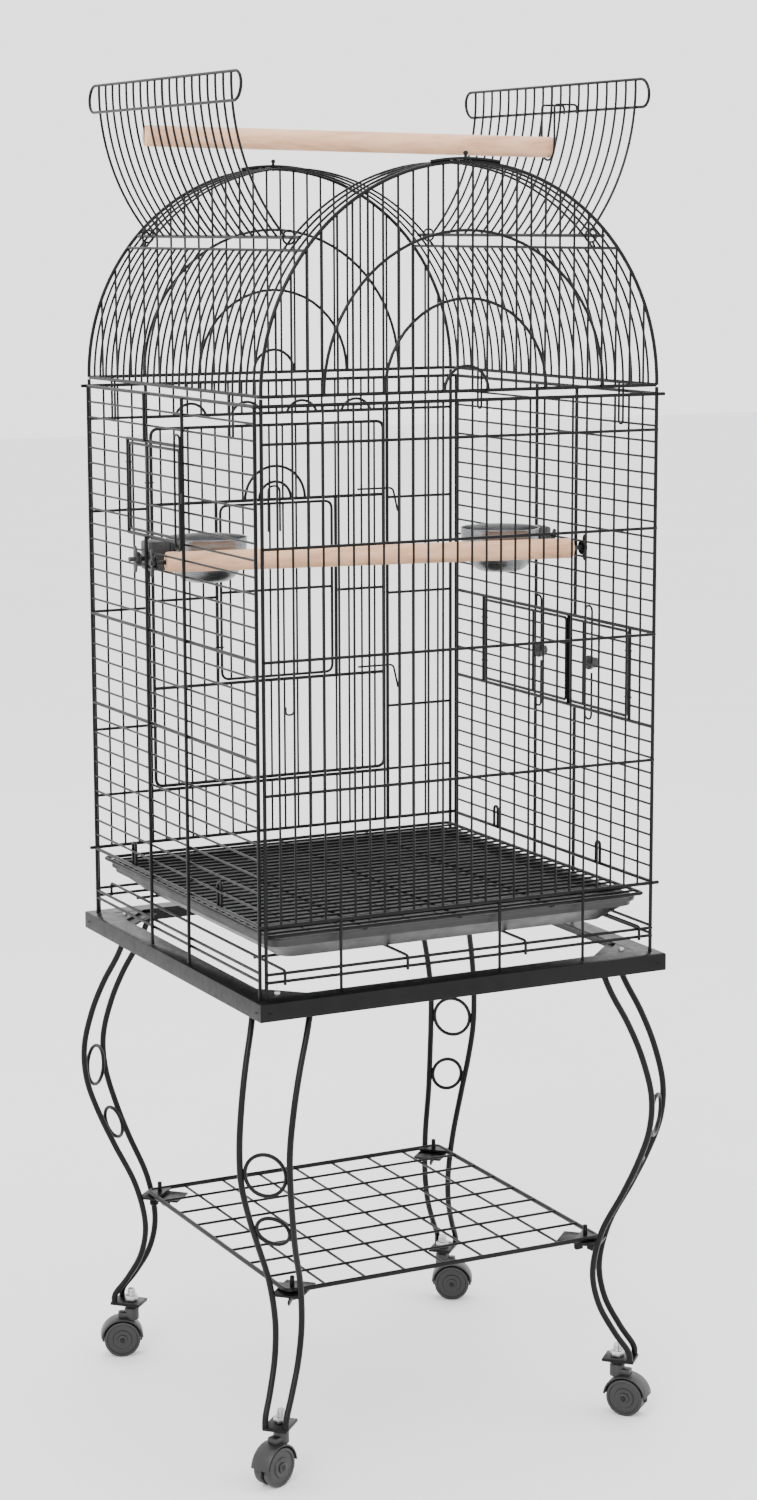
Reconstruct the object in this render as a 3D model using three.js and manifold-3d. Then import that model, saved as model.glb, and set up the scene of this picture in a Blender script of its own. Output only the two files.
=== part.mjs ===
// Wire bird cage with a domed play top, standing on four scrolled legs with casters.
// Millimetres, +Z up, +X to the right, the main door on the +Y side, floor at z = 0.
import * as THREE from 'three';
import { mergeVertices } from 'three/addons/utils/BufferGeometryUtils.js';
import Module from 'manifold-3d';

const wasm = await Module();
wasm.setup();

// ---------------------------------------------------------------- driving dimensions
// Overall
const bodyWidth = 432; // between the end wires of the front and back panels
const bodyDepth = 432; // between the front and back panels
const wirePitch = 16;
const standTop = 500; // top face of the base frame
const bodyLift = 72; // bottom rail of the cage body above the base frame
const bodyPitches = 31; // height of the cage body, counted in wire pitches

// Wire and fits
const thinWire = 2;
const thickWire = 3.5;
const railWire = 3;
const domeSegments = 12;
const gap = 0.3; // between faces that touch
const bite = 0.45; // depth that a surface rail sinks into the post that carries it
const runClearance = 1; // between a moving piece and the piece it passes
const screwClearance = 0.4; // around a bolt in its hole

// Side panels
const sideStandOff = 4; // side panels stand outside the end wires by this much
const cornerInset = 6; // side panel corner posts stand inside the front and back panels
const hairpinWidth = 13;
const knobRadius = 7.5;
const knobLength = 11;
const feederPitches = 6; // height of a feeder opening, in wire pitches
const lowRailPitches = 10; // the two thick side rails, counted up from the bottom rail
const highRailPitches = 16;
const leftFeederPitches = 22;

// Main door and the small door in it, as wire numbers of the panel
const doorFirstWire = 4;
const doorLastWire = 22;
const doorSill = 128; // above the base frame
const doorHead = 533;
const innerFirstWire = 9;
const innerLastWire = 18;
const innerSill = 240;
const innerHead = 439;
const doorCorner = 8;
const doorTopRoom = 13; // main door's top edge below the opening's
const doorRail = 335; // short rails either side of the small door
const hingeRoom = 4.9; // door edge to post, room for the door's edge wire to turn

// Dome and top doors
const domeLift = 9; // dome base above the body's top rail
const vaultRailX = 169.5; // half the width of the top opening
const fullArcs = 4; // arcs at each end of the dome that pass right over the top
const hingeX = 165; // top door hinge bars
const hingeZ = 146; // above the dome's base
const topDoorWires = 19;
const topDoorPitch = 18.3;
const topDoorReach = 43; // degrees of arc from the hinge bar to the grip's outer bar
const topDoorOpen = 82.6; // degrees that the top doors stand open
const gripLength = 380;
const gripWidth = 27;
const hingeBarLength = 392;

// Tray, grate and rack
const trayHeight = 26;
const trayWall = 2.5;
const trayTaper = 0.91;
const trayRim = 7;
const trayCorner = 16;
const sideClearance = 8; // tray rim to the posts it slides between
const gratePitch = 15;
const grateOverlap = 1.5; // grate beyond the tray's rim, each side
const rackWires = 4;
const rackReach = 199; // outermost rack wires from the middle
const rackHook = 14; // depth of the rack wires' turned-down ends
const rackCross = 150; // cross wires from the middle

// Base frame
const frameHalf = 228;
const barHeight = 18;
const barFlange = 24;
const sheet = 2.5;
const gussetLeg = 80;
const weld = 0.2; // gusset faces lie this far inside the bar's faces

// Legs
const rodRadius = 3.25;
const ringWire = 4;
const upperRingHeight = 328;
const lowerRingHeight = 265;
const footRadius = 276; // casters, measured from the stand's axis
const footThick = 3.5;
const footHeight = 60; // middle of the foot plate

// Shelf
const shelfHeight = 190;
const shelfHalf = 180;
const shelfCells = 8;
const shelfFrameWire = 5;
const shelfPlate = 46;
const shelfBolt = 2.5; // radius
const shelfGusset = 30;
const shelfBoltRadius = 240; // measured from the stand's axis

// Casters
const wheelRadius = 20;
const wheelWidth = 9;
const axleRadius = 3.5;
const hoodWall = 2;
const webThick = 3;
const trail = 11;
const stemRadius = 4.5;

// Perches and bowls
const perchRadius = 10.5;
const playPerchHeight = 1312; // at its hooked end
const playPerchRise = 10; // higher at its slotted end
const bowlRadius = 42;
const bowlDepth = 46;
const bowlWall = 1;
const clampBolt = 2.5; // radius
const clampBoltOut = 18;
const tabThick = 3.4; // the bowl's mounting tab
const tabWidth = 18;
const tabHeight = 22;
const tabDrop = 14; // tab's middle below the rim
const bowlRimHeight = 919;

// ---------------------------------------------------------------- derived places
const halfX = bodyWidth / 2;
const halfY = bodyDepth / 2;
const sideX = halfX + sideStandOff;
const cornerY = halfY - cornerInset;
const bodyBottom = standTop + bodyLift;
const bodyTop = bodyBottom + bodyPitches * wirePitch;
const domeBase = bodyTop + domeLift;
const boltRow = bodyBottom + 20.5 * wirePitch; // perch and bowl bolts pass between two side wires
const domeRadius = halfX;
const hingeRadius = Math.hypot(hingeX, hingeZ);
const lastWire = Math.round(bodyWidth / wirePitch);
const surface = thinWire / 2 + railWire / 2 + gap; // surface rails lie this far outside the wires
const sillRails = [18, 26]; // above the base frame
const rackHeight = sillRails[1] + railWire + gap; // rack wires lie on the upper sill rails
const trayLift = rackHeight + railWire / 2 + gap; // tray floor above the base frame
const postSurface = thinWire / 2 + thickWire / 2 + gap;
const wireX = (i) => -halfX + i * wirePitch;
const rowZ = (i) => bodyBottom + i * wirePitch;
const vaultAngle = Math.acos(vaultRailX / domeRadius);
const vaultRailZ = domeBase + domeRadius * Math.sin(vaultAngle);
const domePitch = bodyDepth / lastWire;
const domeSeam = halfY - (fullArcs - 0.5) * domePitch; // where the dome's ends meet its side walls
const legDirections = { near: [-1, -1], right: [1, -1], left: [-1, 1], far: [1, 1] };

// ---------------------------------------------------------------- solids
function solid(geometry) {
  const g = geometry.index ? geometry.clone() : mergeVertices(geometry.clone());
  g.deleteAttribute('normal');
  g.deleteAttribute('uv');
  const merged = mergeVertices(g, 1e-4);
  return new wasm.Manifold(new wasm.Mesh({
    numProp: 3,
    vertProperties: new Float32Array(merged.attributes.position.array),
    triVerts: new Uint32Array(merged.index.array),
  }));
}

function union(geometries) {
  let parts = geometries.map(solid);
  while (parts.length > 1) {
    const next = [];
    for (let i = 0; i < parts.length; i += 2) {
      next.push(i + 1 < parts.length ? parts[i].add(parts[i + 1]) : parts[i]);
    }
    parts = next;
  }
  return parts[0];
}

function geometryOf(manifold) {
  const mesh = manifold.getMesh();
  const points = [];
  for (let i = 0; i < mesh.vertProperties.length; i += mesh.numProp) {
    points.push(mesh.vertProperties[i], mesh.vertProperties[i + 1], mesh.vertProperties[i + 2]);
  }
  const g = new THREE.BufferGeometry();
  g.setAttribute('position', new THREE.Float32BufferAttribute(points, 3));
  g.setIndex(Array.from(mesh.triVerts));
  return g;
}

const joined = (geometries) => geometryOf(union(geometries));
const cut = (geometries, tools) => geometryOf(union(geometries).subtract(union(tools)));

// ---------------------------------------------------------------- shapes
const box = (x, y, z, cx, cy, cz) => new THREE.BoxGeometry(x, y, z).translate(cx, cy, cz);

// A straight wire from a to b: three-sided where it is thin, square where it carries others.
function wire(a, b, size = thinWire) {
  const from = new THREE.Vector3(...a);
  const to = new THREE.Vector3(...b);
  const length = from.distanceTo(to);
  const g = size > thinWire ? new THREE.BoxGeometry(size, size, length)
    : new THREE.CylinderGeometry(size / 2, size / 2, length, 3).rotateX(Math.PI / 2);
  const turn = new THREE.Quaternion().setFromUnitVectors(
    new THREE.Vector3(0, 0, 1), to.clone().sub(from).normalize());
  return g.applyQuaternion(turn).translate(...from.add(to).multiplyScalar(0.5).toArray());
}

// A square-section wire bent in a plane, as one strip with mitred corners. The points are given in
// that plane and laid out by map; closed joins the last point to the first.
function bentWire(points, size, map, closed = false) {
  const p = points.map((q) => new THREE.Vector2(...q));
  const n = p.length;
  const side = (k, s) => {
    const dirs = [];
    if (closed || k > 0) dirs.push(p[k].clone().sub(p[(k + n - 1) % n]).normalize());
    if (closed || k < n - 1) dirs.push(p[(k + 1) % n].clone().sub(p[k]).normalize());
    const along = dirs.reduce((sum, d) => sum.add(d), new THREE.Vector2()).normalize();
    const reach = (s * size) / 2 / along.dot(dirs[0]);
    return new THREE.Vector2(p[k].x - along.y * reach, p[k].y + along.x * reach);
  };
  const left = p.map((_, k) => side(k, 1));
  const right = p.map((_, k) => side(k, -1));
  const areaOf = (outline) => Math.abs(THREE.ShapeUtils.area(outline));
  const [outer, inner] = areaOf(left) > areaOf(right) ? [left, right] : [right, left];
  const shape = new THREE.Shape(closed ? outer : [...left, ...right.reverse()]);
  if (closed) shape.holes.push(new THREE.Path(inner));
  const g = new THREE.ExtrudeGeometry(shape, { depth: size, bevelEnabled: false }).translate(0, 0, -size / 2);
  return g.applyMatrix4(map);
}

// Planes for bent wires: across the cage at a given y, and along it at a given x.
const acrossAt = (y) => new THREE.Matrix4().makeBasis(
  new THREE.Vector3(1, 0, 0), new THREE.Vector3(0, 0, 1), new THREE.Vector3(0, -1, 0)).setPosition(0, y, 0);
const alongAt = (x) => new THREE.Matrix4().makeBasis(
  new THREE.Vector3(0, 1, 0), new THREE.Vector3(0, 0, 1), new THREE.Vector3(1, 0, 0)).setPosition(x, 0, 0);
const levelAt = (z) => new THREE.Matrix4().setPosition(0, 0, z);

function cylinder(radius, length, sides, axis, x, y, z) {
  const g = new THREE.CylinderGeometry(radius, radius, length, sides);
  if (axis === 'x') g.rotateZ(Math.PI / 2);
  if (axis === 'z') g.rotateX(Math.PI / 2);
  return g.translate(x, y, z);
}

// Part of a ring of square section, in the XZ plane round (cx, cz) and centred on y.
function arc(radius, from, to, size, cx, y, cz, segments) {
  const s = new THREE.Shape();
  const at = (r, k) => {
    const angle = from + ((to - from) * k) / segments;
    return [r * Math.cos(angle), r * Math.sin(angle)];
  };
  s.moveTo(...at(radius + size / 2, 0));
  for (let k = 1; k <= segments; k += 1) s.lineTo(...at(radius + size / 2, k));
  for (let k = segments; k >= 0; k -= 1) s.lineTo(...at(radius - size / 2, k));
  const g = new THREE.ExtrudeGeometry(s, { depth: size, bevelEnabled: false });
  return g.rotateX(Math.PI / 2).translate(cx, y + size / 2, cz);
}

function roundedRect(halfW, halfH, radius) {
  const s = new THREE.Shape();
  s.absarc(halfW - radius, halfH - radius, radius, 0, Math.PI / 2, false);
  s.absarc(radius - halfW, halfH - radius, radius, Math.PI / 2, Math.PI, false);
  s.absarc(radius - halfW, radius - halfH, radius, Math.PI, 1.5 * Math.PI, false);
  s.absarc(halfW - radius, radius - halfH, radius, 1.5 * Math.PI, 2 * Math.PI, false);
  return s;
}

// A closed wire frame with round corners, in the XZ plane at y.
function ringFrame(x0, x1, z0, z1, y, radius, size) {
  const outer = roundedRect((x1 - x0 + size) / 2, (z1 - z0 + size) / 2, radius + size / 2);
  outer.holes.push(roundedRect((x1 - x0 - size) / 2, (z1 - z0 - size) / 2, radius - size / 2));
  const g = new THREE.ExtrudeGeometry(outer, { depth: size, bevelEnabled: false, curveSegments: 1 });
  return g.rotateX(Math.PI / 2).translate((x0 + x1) / 2, y + size / 2, (z0 + z1) / 2);
}

function roundedBlock(halfW, halfD, radius, z0, z1, taper = 1) {
  const g = new THREE.ExtrudeGeometry(roundedRect(halfW, halfD, radius),
    { depth: z1 - z0, bevelEnabled: false, curveSegments: 2 });
  const p = g.attributes.position;
  for (let i = 0; i < p.count; i += 1) {
    if (p.getZ(i) < 1e-6) p.setXY(i, p.getX(i) * taper, p.getY(i) * taper);
  }
  return g.translate(0, 0, z0);
}

// ---------------------------------------------------------------- assembly
const cage = new THREE.Group();
const finishes = {
  steel: { color: 0x17181a, roughness: 0.42, metalness: 0.55 },
  plastic: { color: 0x1b1c1e, roughness: 0.5, metalness: 0 },
  wood: { color: 0xd9a98a, roughness: 0.6, metalness: 0 },
  stainless: { color: 0xb4b6b8, roughness: 0.25, metalness: 1 },
  zinc: { color: 0xa9abac, roughness: 0.4, metalness: 0.9 },
};

function place(name, geometry, finish, parent = cage) {
  const mesh = new THREE.Mesh(geometry, new THREE.MeshStandardMaterial(finishes[finish]));
  mesh.name = name;
  parent.add(mesh);
  return mesh;
}

// ---------------------------------------------------------------- end panels
// Upright wires between a bottom and a top rail; side = -1 for the back panel, 1 for the front.
function uprights(y, z0, z1, first, last) {
  const pieces = [];
  for (let i = first; i <= last; i += 1) pieces.push(wire([wireX(i), y, z0], [wireX(i), y, z1]));
  return pieces;
}

const overhang = 9; // rails of the end panels pass the corner by this much
const endRails = [200, 328, 435, 533];

function post(x, y, z0, z1) {
  return wire([x, y, z0], [x, y, z1], thickWire);
}

function backPanel() {
  const y = -halfY;
  const railY = y - surface;
  const feet = [5, 16, 22];
  return joined([
    wire([-halfX - overhang, y, bodyBottom], [halfX + overhang, y, bodyBottom], thickWire),
    wire([-halfX - overhang, y, bodyTop], [halfX + overhang, y, bodyTop], thickWire),
    post(-halfX, y, standTop + gap, domeBase - thickWire / 2 - gap),
    post(halfX, y, standTop + gap, domeBase - thickWire / 2 - gap),
    ...uprights(y, bodyBottom, bodyTop, 1, lastWire - 1),
    ...feet.map((i) => wire([wireX(i), y, standTop + gap], [wireX(i), y, bodyBottom], railWire)),
    ...endRails.map((z) => wire([-halfX, railY, standTop + z], [halfX, railY, standTop + z], railWire)),
    ...sillRails.map((z) => wire([-halfX, railY, standTop + z], [halfX, railY, standTop + z], railWire)),
  ]);
}

function doorPanel() {
  const y = halfY;
  const railY = y + surface;
  const [left, right] = [wireX(doorFirstWire), wireX(doorLastWire)];
  const [sill, head] = [standTop + doorSill, standTop + doorHead];
  const sideRails = endRails.filter((z) => z > doorSill && z < doorHead);
  const rail = (x0, x1, z) => wire([x0, railY, z], [x1, railY, z], railWire);
  return joined([
    wire([-halfX - overhang, y, bodyBottom], [halfX + overhang, y, bodyBottom], thickWire),
    wire([-halfX - overhang, y, bodyTop], [halfX + overhang, y, bodyTop], thickWire),
    post(-halfX, y, standTop + gap, domeBase - thickWire / 2 - gap),
    post(halfX, y, standTop + gap, domeBase - thickWire / 2 - gap),
    post(left, y, bodyBottom, bodyTop),
    post(right, y, bodyBottom, bodyTop),
    wire([left, y, sill], [right, y, sill], thickWire),
    wire([left, y, head], [right, y, head], thickWire),
    ...uprights(y, bodyBottom, bodyTop, 1, doorFirstWire - 1),
    ...uprights(y, bodyBottom, bodyTop, doorLastWire + 1, lastWire - 1),
    ...uprights(y, bodyBottom, sill, doorFirstWire + 1, doorLastWire - 1),
    ...uprights(y, head, bodyTop, doorFirstWire + 1, doorLastWire - 1),
    ...[sill, head].flatMap((z) => [rail(-halfX, left, z), rail(right, halfX, z)]),
    ...sideRails.flatMap((z) => [
      rail(-halfX, left, standTop + z), rail(right, halfX, standTop + z)]),
    ...sillRails.map((z) => wire([-halfX, railY, standTop + z], [halfX, railY, standTop + z], railWire)),
    ...[-99, -33, 33, 99].map((x) => arc(19, 0.32, Math.PI - 0.32, railWire, x, railY, head - 6.5, 5)),
  ]);
}

// ---------------------------------------------------------------- side panels
// openings: [y0, y1, firstRow, lastRow] of the feeder doors; posts: middle posts' y.
function sidePanel(side, openings, middlePosts) {
  const x = side * sideX;
  const postX = x + side * postSurface;
  const rowSize = (i) => ([0, lowRailPitches, highRailPitches, bodyPitches].includes(i) ? thickWire : thinWire);
  const pieces = [post(x, -cornerY, standTop + gap, bodyTop), post(x, cornerY, standTop + gap, bodyTop)];
  for (let i = 0; i <= bodyPitches; i += 1) {
    const stops = openings.filter((o) => i > o[2] && i < o[3]);
    const ends = [-cornerY, ...stops.flatMap((o) => [o[0], o[1]]), cornerY];
    for (let k = 0; k < ends.length; k += 2) {
      if (ends[k] < ends[k + 1]) pieces.push(wire([x, ends[k], rowZ(i)], [x, ends[k + 1], rowZ(i)], rowSize(i)));
    }
  }
  for (const [y0, y1, low, high] of openings) {
    pieces.push(post(x, y0, rowZ(low), rowZ(high)));
    if (!openings.some((o) => o[0] === y1)) pieces.push(post(x, y1, rowZ(low), rowZ(high)));
    for (const row of [low, high].filter((r) => rowSize(r) === thinWire)) {
      pieces.push(wire([x, y0, rowZ(row)], [x, y1, rowZ(row)], thickWire));
    }
  }
  const tongue = 24;
  for (const y of [-110, 110]) {
    pieces.push(bentWire([[y - 4, bodyBottom], [y - 4, bodyBottom + tongue], [y + 4, bodyBottom + tongue],
      [y + 4, bodyBottom]], railWire, alongAt(x - side * postSurface)));
  }
  for (const y of middlePosts) {
    const blocked = openings.filter((o) => y > o[0] - thickWire && y < o[1] + thickWire);
    let z = standTop + gap;
    for (const o of blocked) {
      pieces.push(post(postX, y, z, rowZ(o[2])));
      z = rowZ(o[3]);
    }
    pieces.push(post(postX, y, z, bodyTop));
  }
  for (const z of sillRails) {
    pieces.push(wire([x, -cornerY, standTop + z], [x, cornerY, standTop + z], railWire));
  }
  return joined(pieces);
}

const leftOpening = [-36, 102, leftFeederPitches, leftFeederPitches + feederPitches];
const rightOpenings = [
  [-164, -41, lowRailPitches, highRailPitches], [-41, 145, lowRailPitches, highRailPitches]];
const leftPosts = [-46, 50];
const rightPosts = [-49, 34];

// A feeder door in its opening, hinged on the edge at y = hingeAt.
function feederDoor(side, opening, rows, barY) {
  const x = side * sideX;
  const [y0, y1] = [opening[0] + hingeRoom, opening[1] - hingeRoom];
  const room = thickWire / 2 + railWire / 2 + runClearance;
  const [z0, z1] = [rowZ(opening[2]) + room, rowZ(opening[3]) - room];
  const pieces = [
    bentWire([[y0, z0], [y1, z0], [y1, z1], [y0, z1]], railWire, alongAt(x), true),
    wire([x, barY, z0], [x, barY, z1], railWire)];
  for (let i = 1; i < rows; i += 1) {
    const z = rowZ(opening[2]) + i * wirePitch;
    pieces.push(wire([x, y0, z], [x, y1, z]));
  }
  return joined(pieces);
}

// A hairpin latch outside a feeder door, spanning both edges of its opening; on the right with a knob.
function hairpin(side, y, z0, z1) {
  const x = side * (sideX + postSurface + thickWire / 2 + gap + thinWire / 2);
  const half = hairpinWidth / 2;
  const middle = (z0 + z1) / 2;
  const loop = bentWire([[y - half, middle], [y - half, z1], [y + half, z1], [y + half, z0], [y - half, z0],
    [y - half, middle - 10]], thinWire, alongAt(x));
  const knob = cylinder(knobRadius, knobLength, 8, 'x', x + side * (knobLength / 2 - thinWire / 2), y, middle);
  return joined(side > 0 ? [loop, knob] : [loop]);
}

// ---------------------------------------------------------------- main door and inner door
function mainDoor() {
  const y = halfY;
  const outside = y + surface;
  const [x0, x1] = [wireX(doorFirstWire) + hingeRoom, wireX(doorLastWire) - hingeRoom];
  const room = thickWire + runClearance;
  const [z0, z1] = [standTop + doorSill + room, standTop + doorHead - doorTopRoom];
  const [sill, head] = [standTop + innerSill, standTop + innerHead];
  const [innerLeft, innerRight] = [wireX(innerFirstWire), wireX(innerLastWire)];
  const middle = (innerLeft + innerRight) / 2;
  const pieces = [
    ringFrame(x0, x1, z0, z1, y, doorCorner, thickWire),
    wire([x0, y, sill], [x1, y, sill], thickWire),
    wire([x0, y, head], [x1, y, head], thickWire),
    wire([innerLeft, y, sill], [innerLeft, y, head], thickWire),
    wire([innerRight, y, sill], [innerRight, y, head], thickWire),
    wire([x0 + hingeRoom, outside, standTop + doorRail], [innerLeft, outside, standTop + doorRail], railWire),
    wire([innerRight, outside, standTop + doorRail], [x1, outside, standTop + doorRail], railWire),
    arc(36, 0, Math.PI, railWire, middle, outside, head, 8),
    arc(19, 0, Math.PI, railWire, middle, outside, head, 6),
  ];
  for (let i = doorFirstWire + 1; i < doorLastWire; i += 1) {
    pieces.push(...uprights(y, z0, sill, i, i), ...uprights(y, head, z1, i, i));
    if (i < innerFirstWire || i > innerLastWire) pieces.push(...uprights(y, sill, head, i, i));
  }
  return joined(pieces);
}

function innerDoor() {
  const y = halfY;
  const [x0, x1] = [wireX(innerFirstWire) + hingeRoom, wireX(innerLastWire) - hingeRoom];
  const room = thickWire + runClearance;
  const [z0, z1] = [standTop + innerSill + room, standTop + innerHead - room];
  const middle = (z0 + z1) / 2;
  return joined([
    ringFrame(x0, x1, z0, z1, y, 8, railWire),
    ...uprights(y, z0, z1, innerFirstWire + 1, innerLastWire - 1),
    wire([x0 + hingeRoom, y + surface - gap - bite, middle], [x1, y + surface - gap - bite, middle], railWire),
  ]);
}

// Wire hairpin that locks the small door's top edge to the main door.
function innerLatch() {
  const y = halfY + surface + railWire / 2 + gap + thinWire / 2;
  const [x, z0, z1] = [(wireX(innerFirstWire) + wireX(innerLastWire)) / 2, standTop + 403, standTop + 453];
  return joined([bentWire([[x - 7, z0], [x - 7, z1], [x + 7, z1], [x + 7, z0]], thinWire, acrossAt(y))]);
}

// Swinging wire bail below the small door.
function innerBail() {
  const y = halfY + surface + railWire / 2 + gap + thinWire / 2;
  const [x, top, low] = [(wireX(innerFirstWire) + wireX(innerLastWire)) / 2, standTop + innerSill,
    standTop + innerSill - 42];
  return joined([bentWire([[x - 22, low + 4], [x - 22, top], [x + 22, top], [x + 22, low], [x + 12, low],
    [x + 12, low + 9]], thinWire, acrossAt(y))]);
}

// Slide bolt with a turned-down handle at the main door's free edge.
function slideBolt(z) {
  const y = halfY + surface + railWire / 2 + gap + thinWire / 2;
  const x = wireX(doorLastWire);
  return joined([bentWire([[x - 34, z], [x + 10, z], [x + 16, z - 26]], thinWire, acrossAt(y))]);
}

// ---------------------------------------------------------------- dome
function gable(y, side) {
  const pieces = [];
  for (let i = 1; i < lastWire; i += 1) {
    const x = wireX(i);
    const under = domeRadius * Math.cos(Math.PI / domeSegments) - thickWire / 2 - gap;
    pieces.push(wire([x, y, domeBase], [x, y, domeBase + Math.sqrt(under ** 2 - (Math.abs(x) + 1) ** 2)]));
  }
  for (const i of [4, 8, 12]) {
    const root = 1 / wireX(i);
    pieces.push(arc(-wireX(i), root, Math.PI - root, railWire, 0, y + side * surface, domeBase, 11 - i / 2));
  }
  pieces.push(arc(domeRadius + 2, 1.4, Math.PI - 1.4, 4, 0, y, domeBase, 4));
  pieces.push(box(railWire, railWire, 12, 0, y, domeBase + domeRadius + 4));
  return pieces;
}

function hingeLoop(side, y) {
  const loop = new THREE.TorusGeometry(6.4, 1.2, 4, 8).rotateX(Math.PI / 2)
    .translate(side * hingeX, y, domeBase + hingeZ);
  const rail = [side * vaultRailX, y, vaultRailZ];
  const toRail = new THREE.Vector3(...rail).sub(new THREE.Vector3(side * hingeX, y, domeBase + hingeZ));
  const start = toRail.clone().normalize().multiplyScalar(6.4);
  return [loop, wire([side * hingeX + start.x, y, domeBase + hingeZ + start.z], rail, thinWire)];
}

// One end of the dome: its gable with the arcs that pass right over the top.
function domeEnd(side) {
  const [y, seam] = [side * halfY, side * (domeSeam + gap)];
  const pieces = [...gable(y, side),
    bentWire([[-halfX, seam], [-halfX, y], [halfX, y], [halfX, seam]], thickWire, levelAt(domeBase))];
  for (let i = 0; i < fullArcs; i += 1) {
    pieces.push(arc(domeRadius, 0, Math.PI, i ? thinWire : thickWire, 0, side * (halfY - i * domePitch),
      domeBase, domeSegments));
  }
  for (const s of [-1, 1]) {
    pieces.push(wire([s * vaultRailX, y, vaultRailZ], [s * vaultRailX, seam, vaultRailZ], railWire));
    pieces.push(...hingeLoop(s, side * 172));
  }
  return joined(pieces);
}

// One side of the dome between its ends: short arcs from the base up to the rail of the top opening.
function domeWall(side) {
  const pieces = [
    wire([side * halfX, -domeSeam, domeBase], [side * halfX, domeSeam, domeBase], thickWire),
    wire([side * vaultRailX, -domeSeam, vaultRailZ], [side * vaultRailX, domeSeam, vaultRailZ], railWire)];
  const [first, last] = [fullArcs, lastWire - fullArcs];
  for (let i = first; i <= last; i += 1) {
    const carries = i === first || i === last || 2 * i === lastWire - 1;
    const end = vaultAngle - (carries ? 0 : 0.02);
    const [from, to] = side > 0 ? [0, end] : [Math.PI - end, Math.PI];
    pieces.push(arc(domeRadius, from, to, thinWire, 0, -halfY + i * domePitch, domeBase, 2));
  }
  for (const y of [-148.5, 148.5]) {
    pieces.push(bentWire([[y - 4, domeBase], [y - 4, domeBase - 42], [y + 4, domeBase - 42],
      [y + 4, domeBase]], thinWire, alongAt(side * halfX)));
  }
  return joined(pieces);
}

// The grip: its outer bar ends the door's wires, its inner bar lies on their outer side.
function gripLoop(tip) {
  const half = gripWidth / 2;
  const loop = roundedRect(half + railWire / 2, gripLength / 2, half + railWire / 2 - 0.1);
  loop.holes.push(roundedRect(half - railWire / 2, gripLength / 2 - railWire, half - railWire / 2 - 0.1));
  const inner = tip - Math.sqrt(gripWidth ** 2 - surface ** 2) / hingeRadius;
  const dx = (hingeRadius + surface) * Math.cos(inner) - hingeRadius * Math.cos(tip);
  const dz = (hingeRadius + surface) * Math.sin(inner) - hingeRadius * Math.sin(tip);
  return new THREE.ExtrudeGeometry(loop, { depth: railWire, bevelEnabled: false, curveSegments: 2 })
    .translate(half, 0, -railWire / 2)
    .rotateY(Math.atan2(-dz, dx))
    .translate(hingeRadius * Math.cos(tip), 0, hingeRadius * Math.sin(tip));
}

// One of the two top doors: arched wires between a hinge bar and a grip loop, standing open.
function topDoor(side) {
  const hingeAngle = Math.atan2(hingeZ, hingeX);
  const tip = hingeAngle + THREE.MathUtils.degToRad(topDoorReach);
  const pieces = [];
  for (let i = 0; i < topDoorWires; i += 1) {
    const y = (i - (topDoorWires - 1) / 2) * topDoorPitch;
    pieces.push(arc(hingeRadius, hingeAngle, tip, thinWire, 0, y, 0, 3));
  }
  pieces.push(wire([hingeX, -hingeBarLength / 2, hingeZ], [hingeX, hingeBarLength / 2, hingeZ], thickWire));
  pieces.push(gripLoop(tip));
  const g = joined(pieces);
  g.translate(-hingeX, 0, -hingeZ).rotateY(THREE.MathUtils.degToRad(topDoorOpen));
  if (side < 0) g.rotateZ(Math.PI);
  return g.translate(side * hingeX, 0, domeBase + hingeZ);
}

// ---------------------------------------------------------------- perches, bowls
// Dowels lie a little askew, as their bolts fall between the wires.
const playFrom = [-216, 55];
const playTo = [204.5, -27.5];
const innerFrom = [-sideX + 6, 21];
const innerTo = [sideX - 6, -57];

function dowel(from, to, z, rise = 0) {
  const [dx, dy] = [to[0] - from[0], to[1] - from[1]];
  const run = Math.hypot(dx, dy);
  return cylinder(perchRadius, run, 16, 'x', 0, 0, 0).rotateY(Math.atan2(rise, run))
    .rotateZ(Math.atan2(dy, dx)).translate((from[0] + to[0]) / 2, (from[1] + to[1]) / 2, z + rise / 2);
}

// The play perch: its left end is slotted over a wire of the left top door.
function playPerch() {
  const slot = box(30, 5, 3 * perchRadius, playFrom[0], playFrom[1], playPerchHeight + playPerchRise);
  return cut([dowel(playFrom, playTo, playPerchHeight, playPerchRise)], [slot]);
}

// Wire cradle that hangs from the right top door's grip and holds the perch's other end.
function perchHook() {
  const barX = hingeX + 54;
  const x = playTo[0] - 5;
  const reach = perchRadius + gap + 1 + thinWire / 2;
  const [y, z] = [playTo[1] + 1, playPerchHeight];
  const top = domeBase + hingeZ + 132;
  const pieces = [arc(reach, Math.PI, 2 * Math.PI, thinWire, 0, 0, 0, 5).rotateZ(Math.PI / 2)
    .translate(x, y, z)];
  for (const s of [-1, 1]) {
    pieces.push(bentWire([[x, z - 0.5], [x, top], [barX + 7, top], [barX + 7, top - 9]], thinWire,
      acrossAt(y + s * reach)));
  }
  return joined(pieces);
}

// The inner perch, with the bolt that comes out of each end.
function innerPerch() {
  const ends = [innerFrom, innerTo].map((p) => cylinder(clampBolt, 34, 8, 'x', p[0], p[1], boltRow));
  return joined([dowel(innerFrom, innerTo, boltRow), ...ends]);
}

function wingNut(side, y, z) {
  const x = side * (sideX + postSurface + thickWire / 2 + gap);
  const body = [cylinder(5, 5, 8, 'x', x + side * 2.5, y, z), cylinder(7.5, 1.2, 10, 'x', x + side * 0.6, y, z),
    box(3, 9, 12, x + side * 3.5, y, z + 8), box(3, 9, 12, x + side * 3.5, y, z - 8)];
  return cut(body, [cylinder(clampBolt + screwClearance, 40, 8, 'x', x, y, z)]);
}

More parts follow.
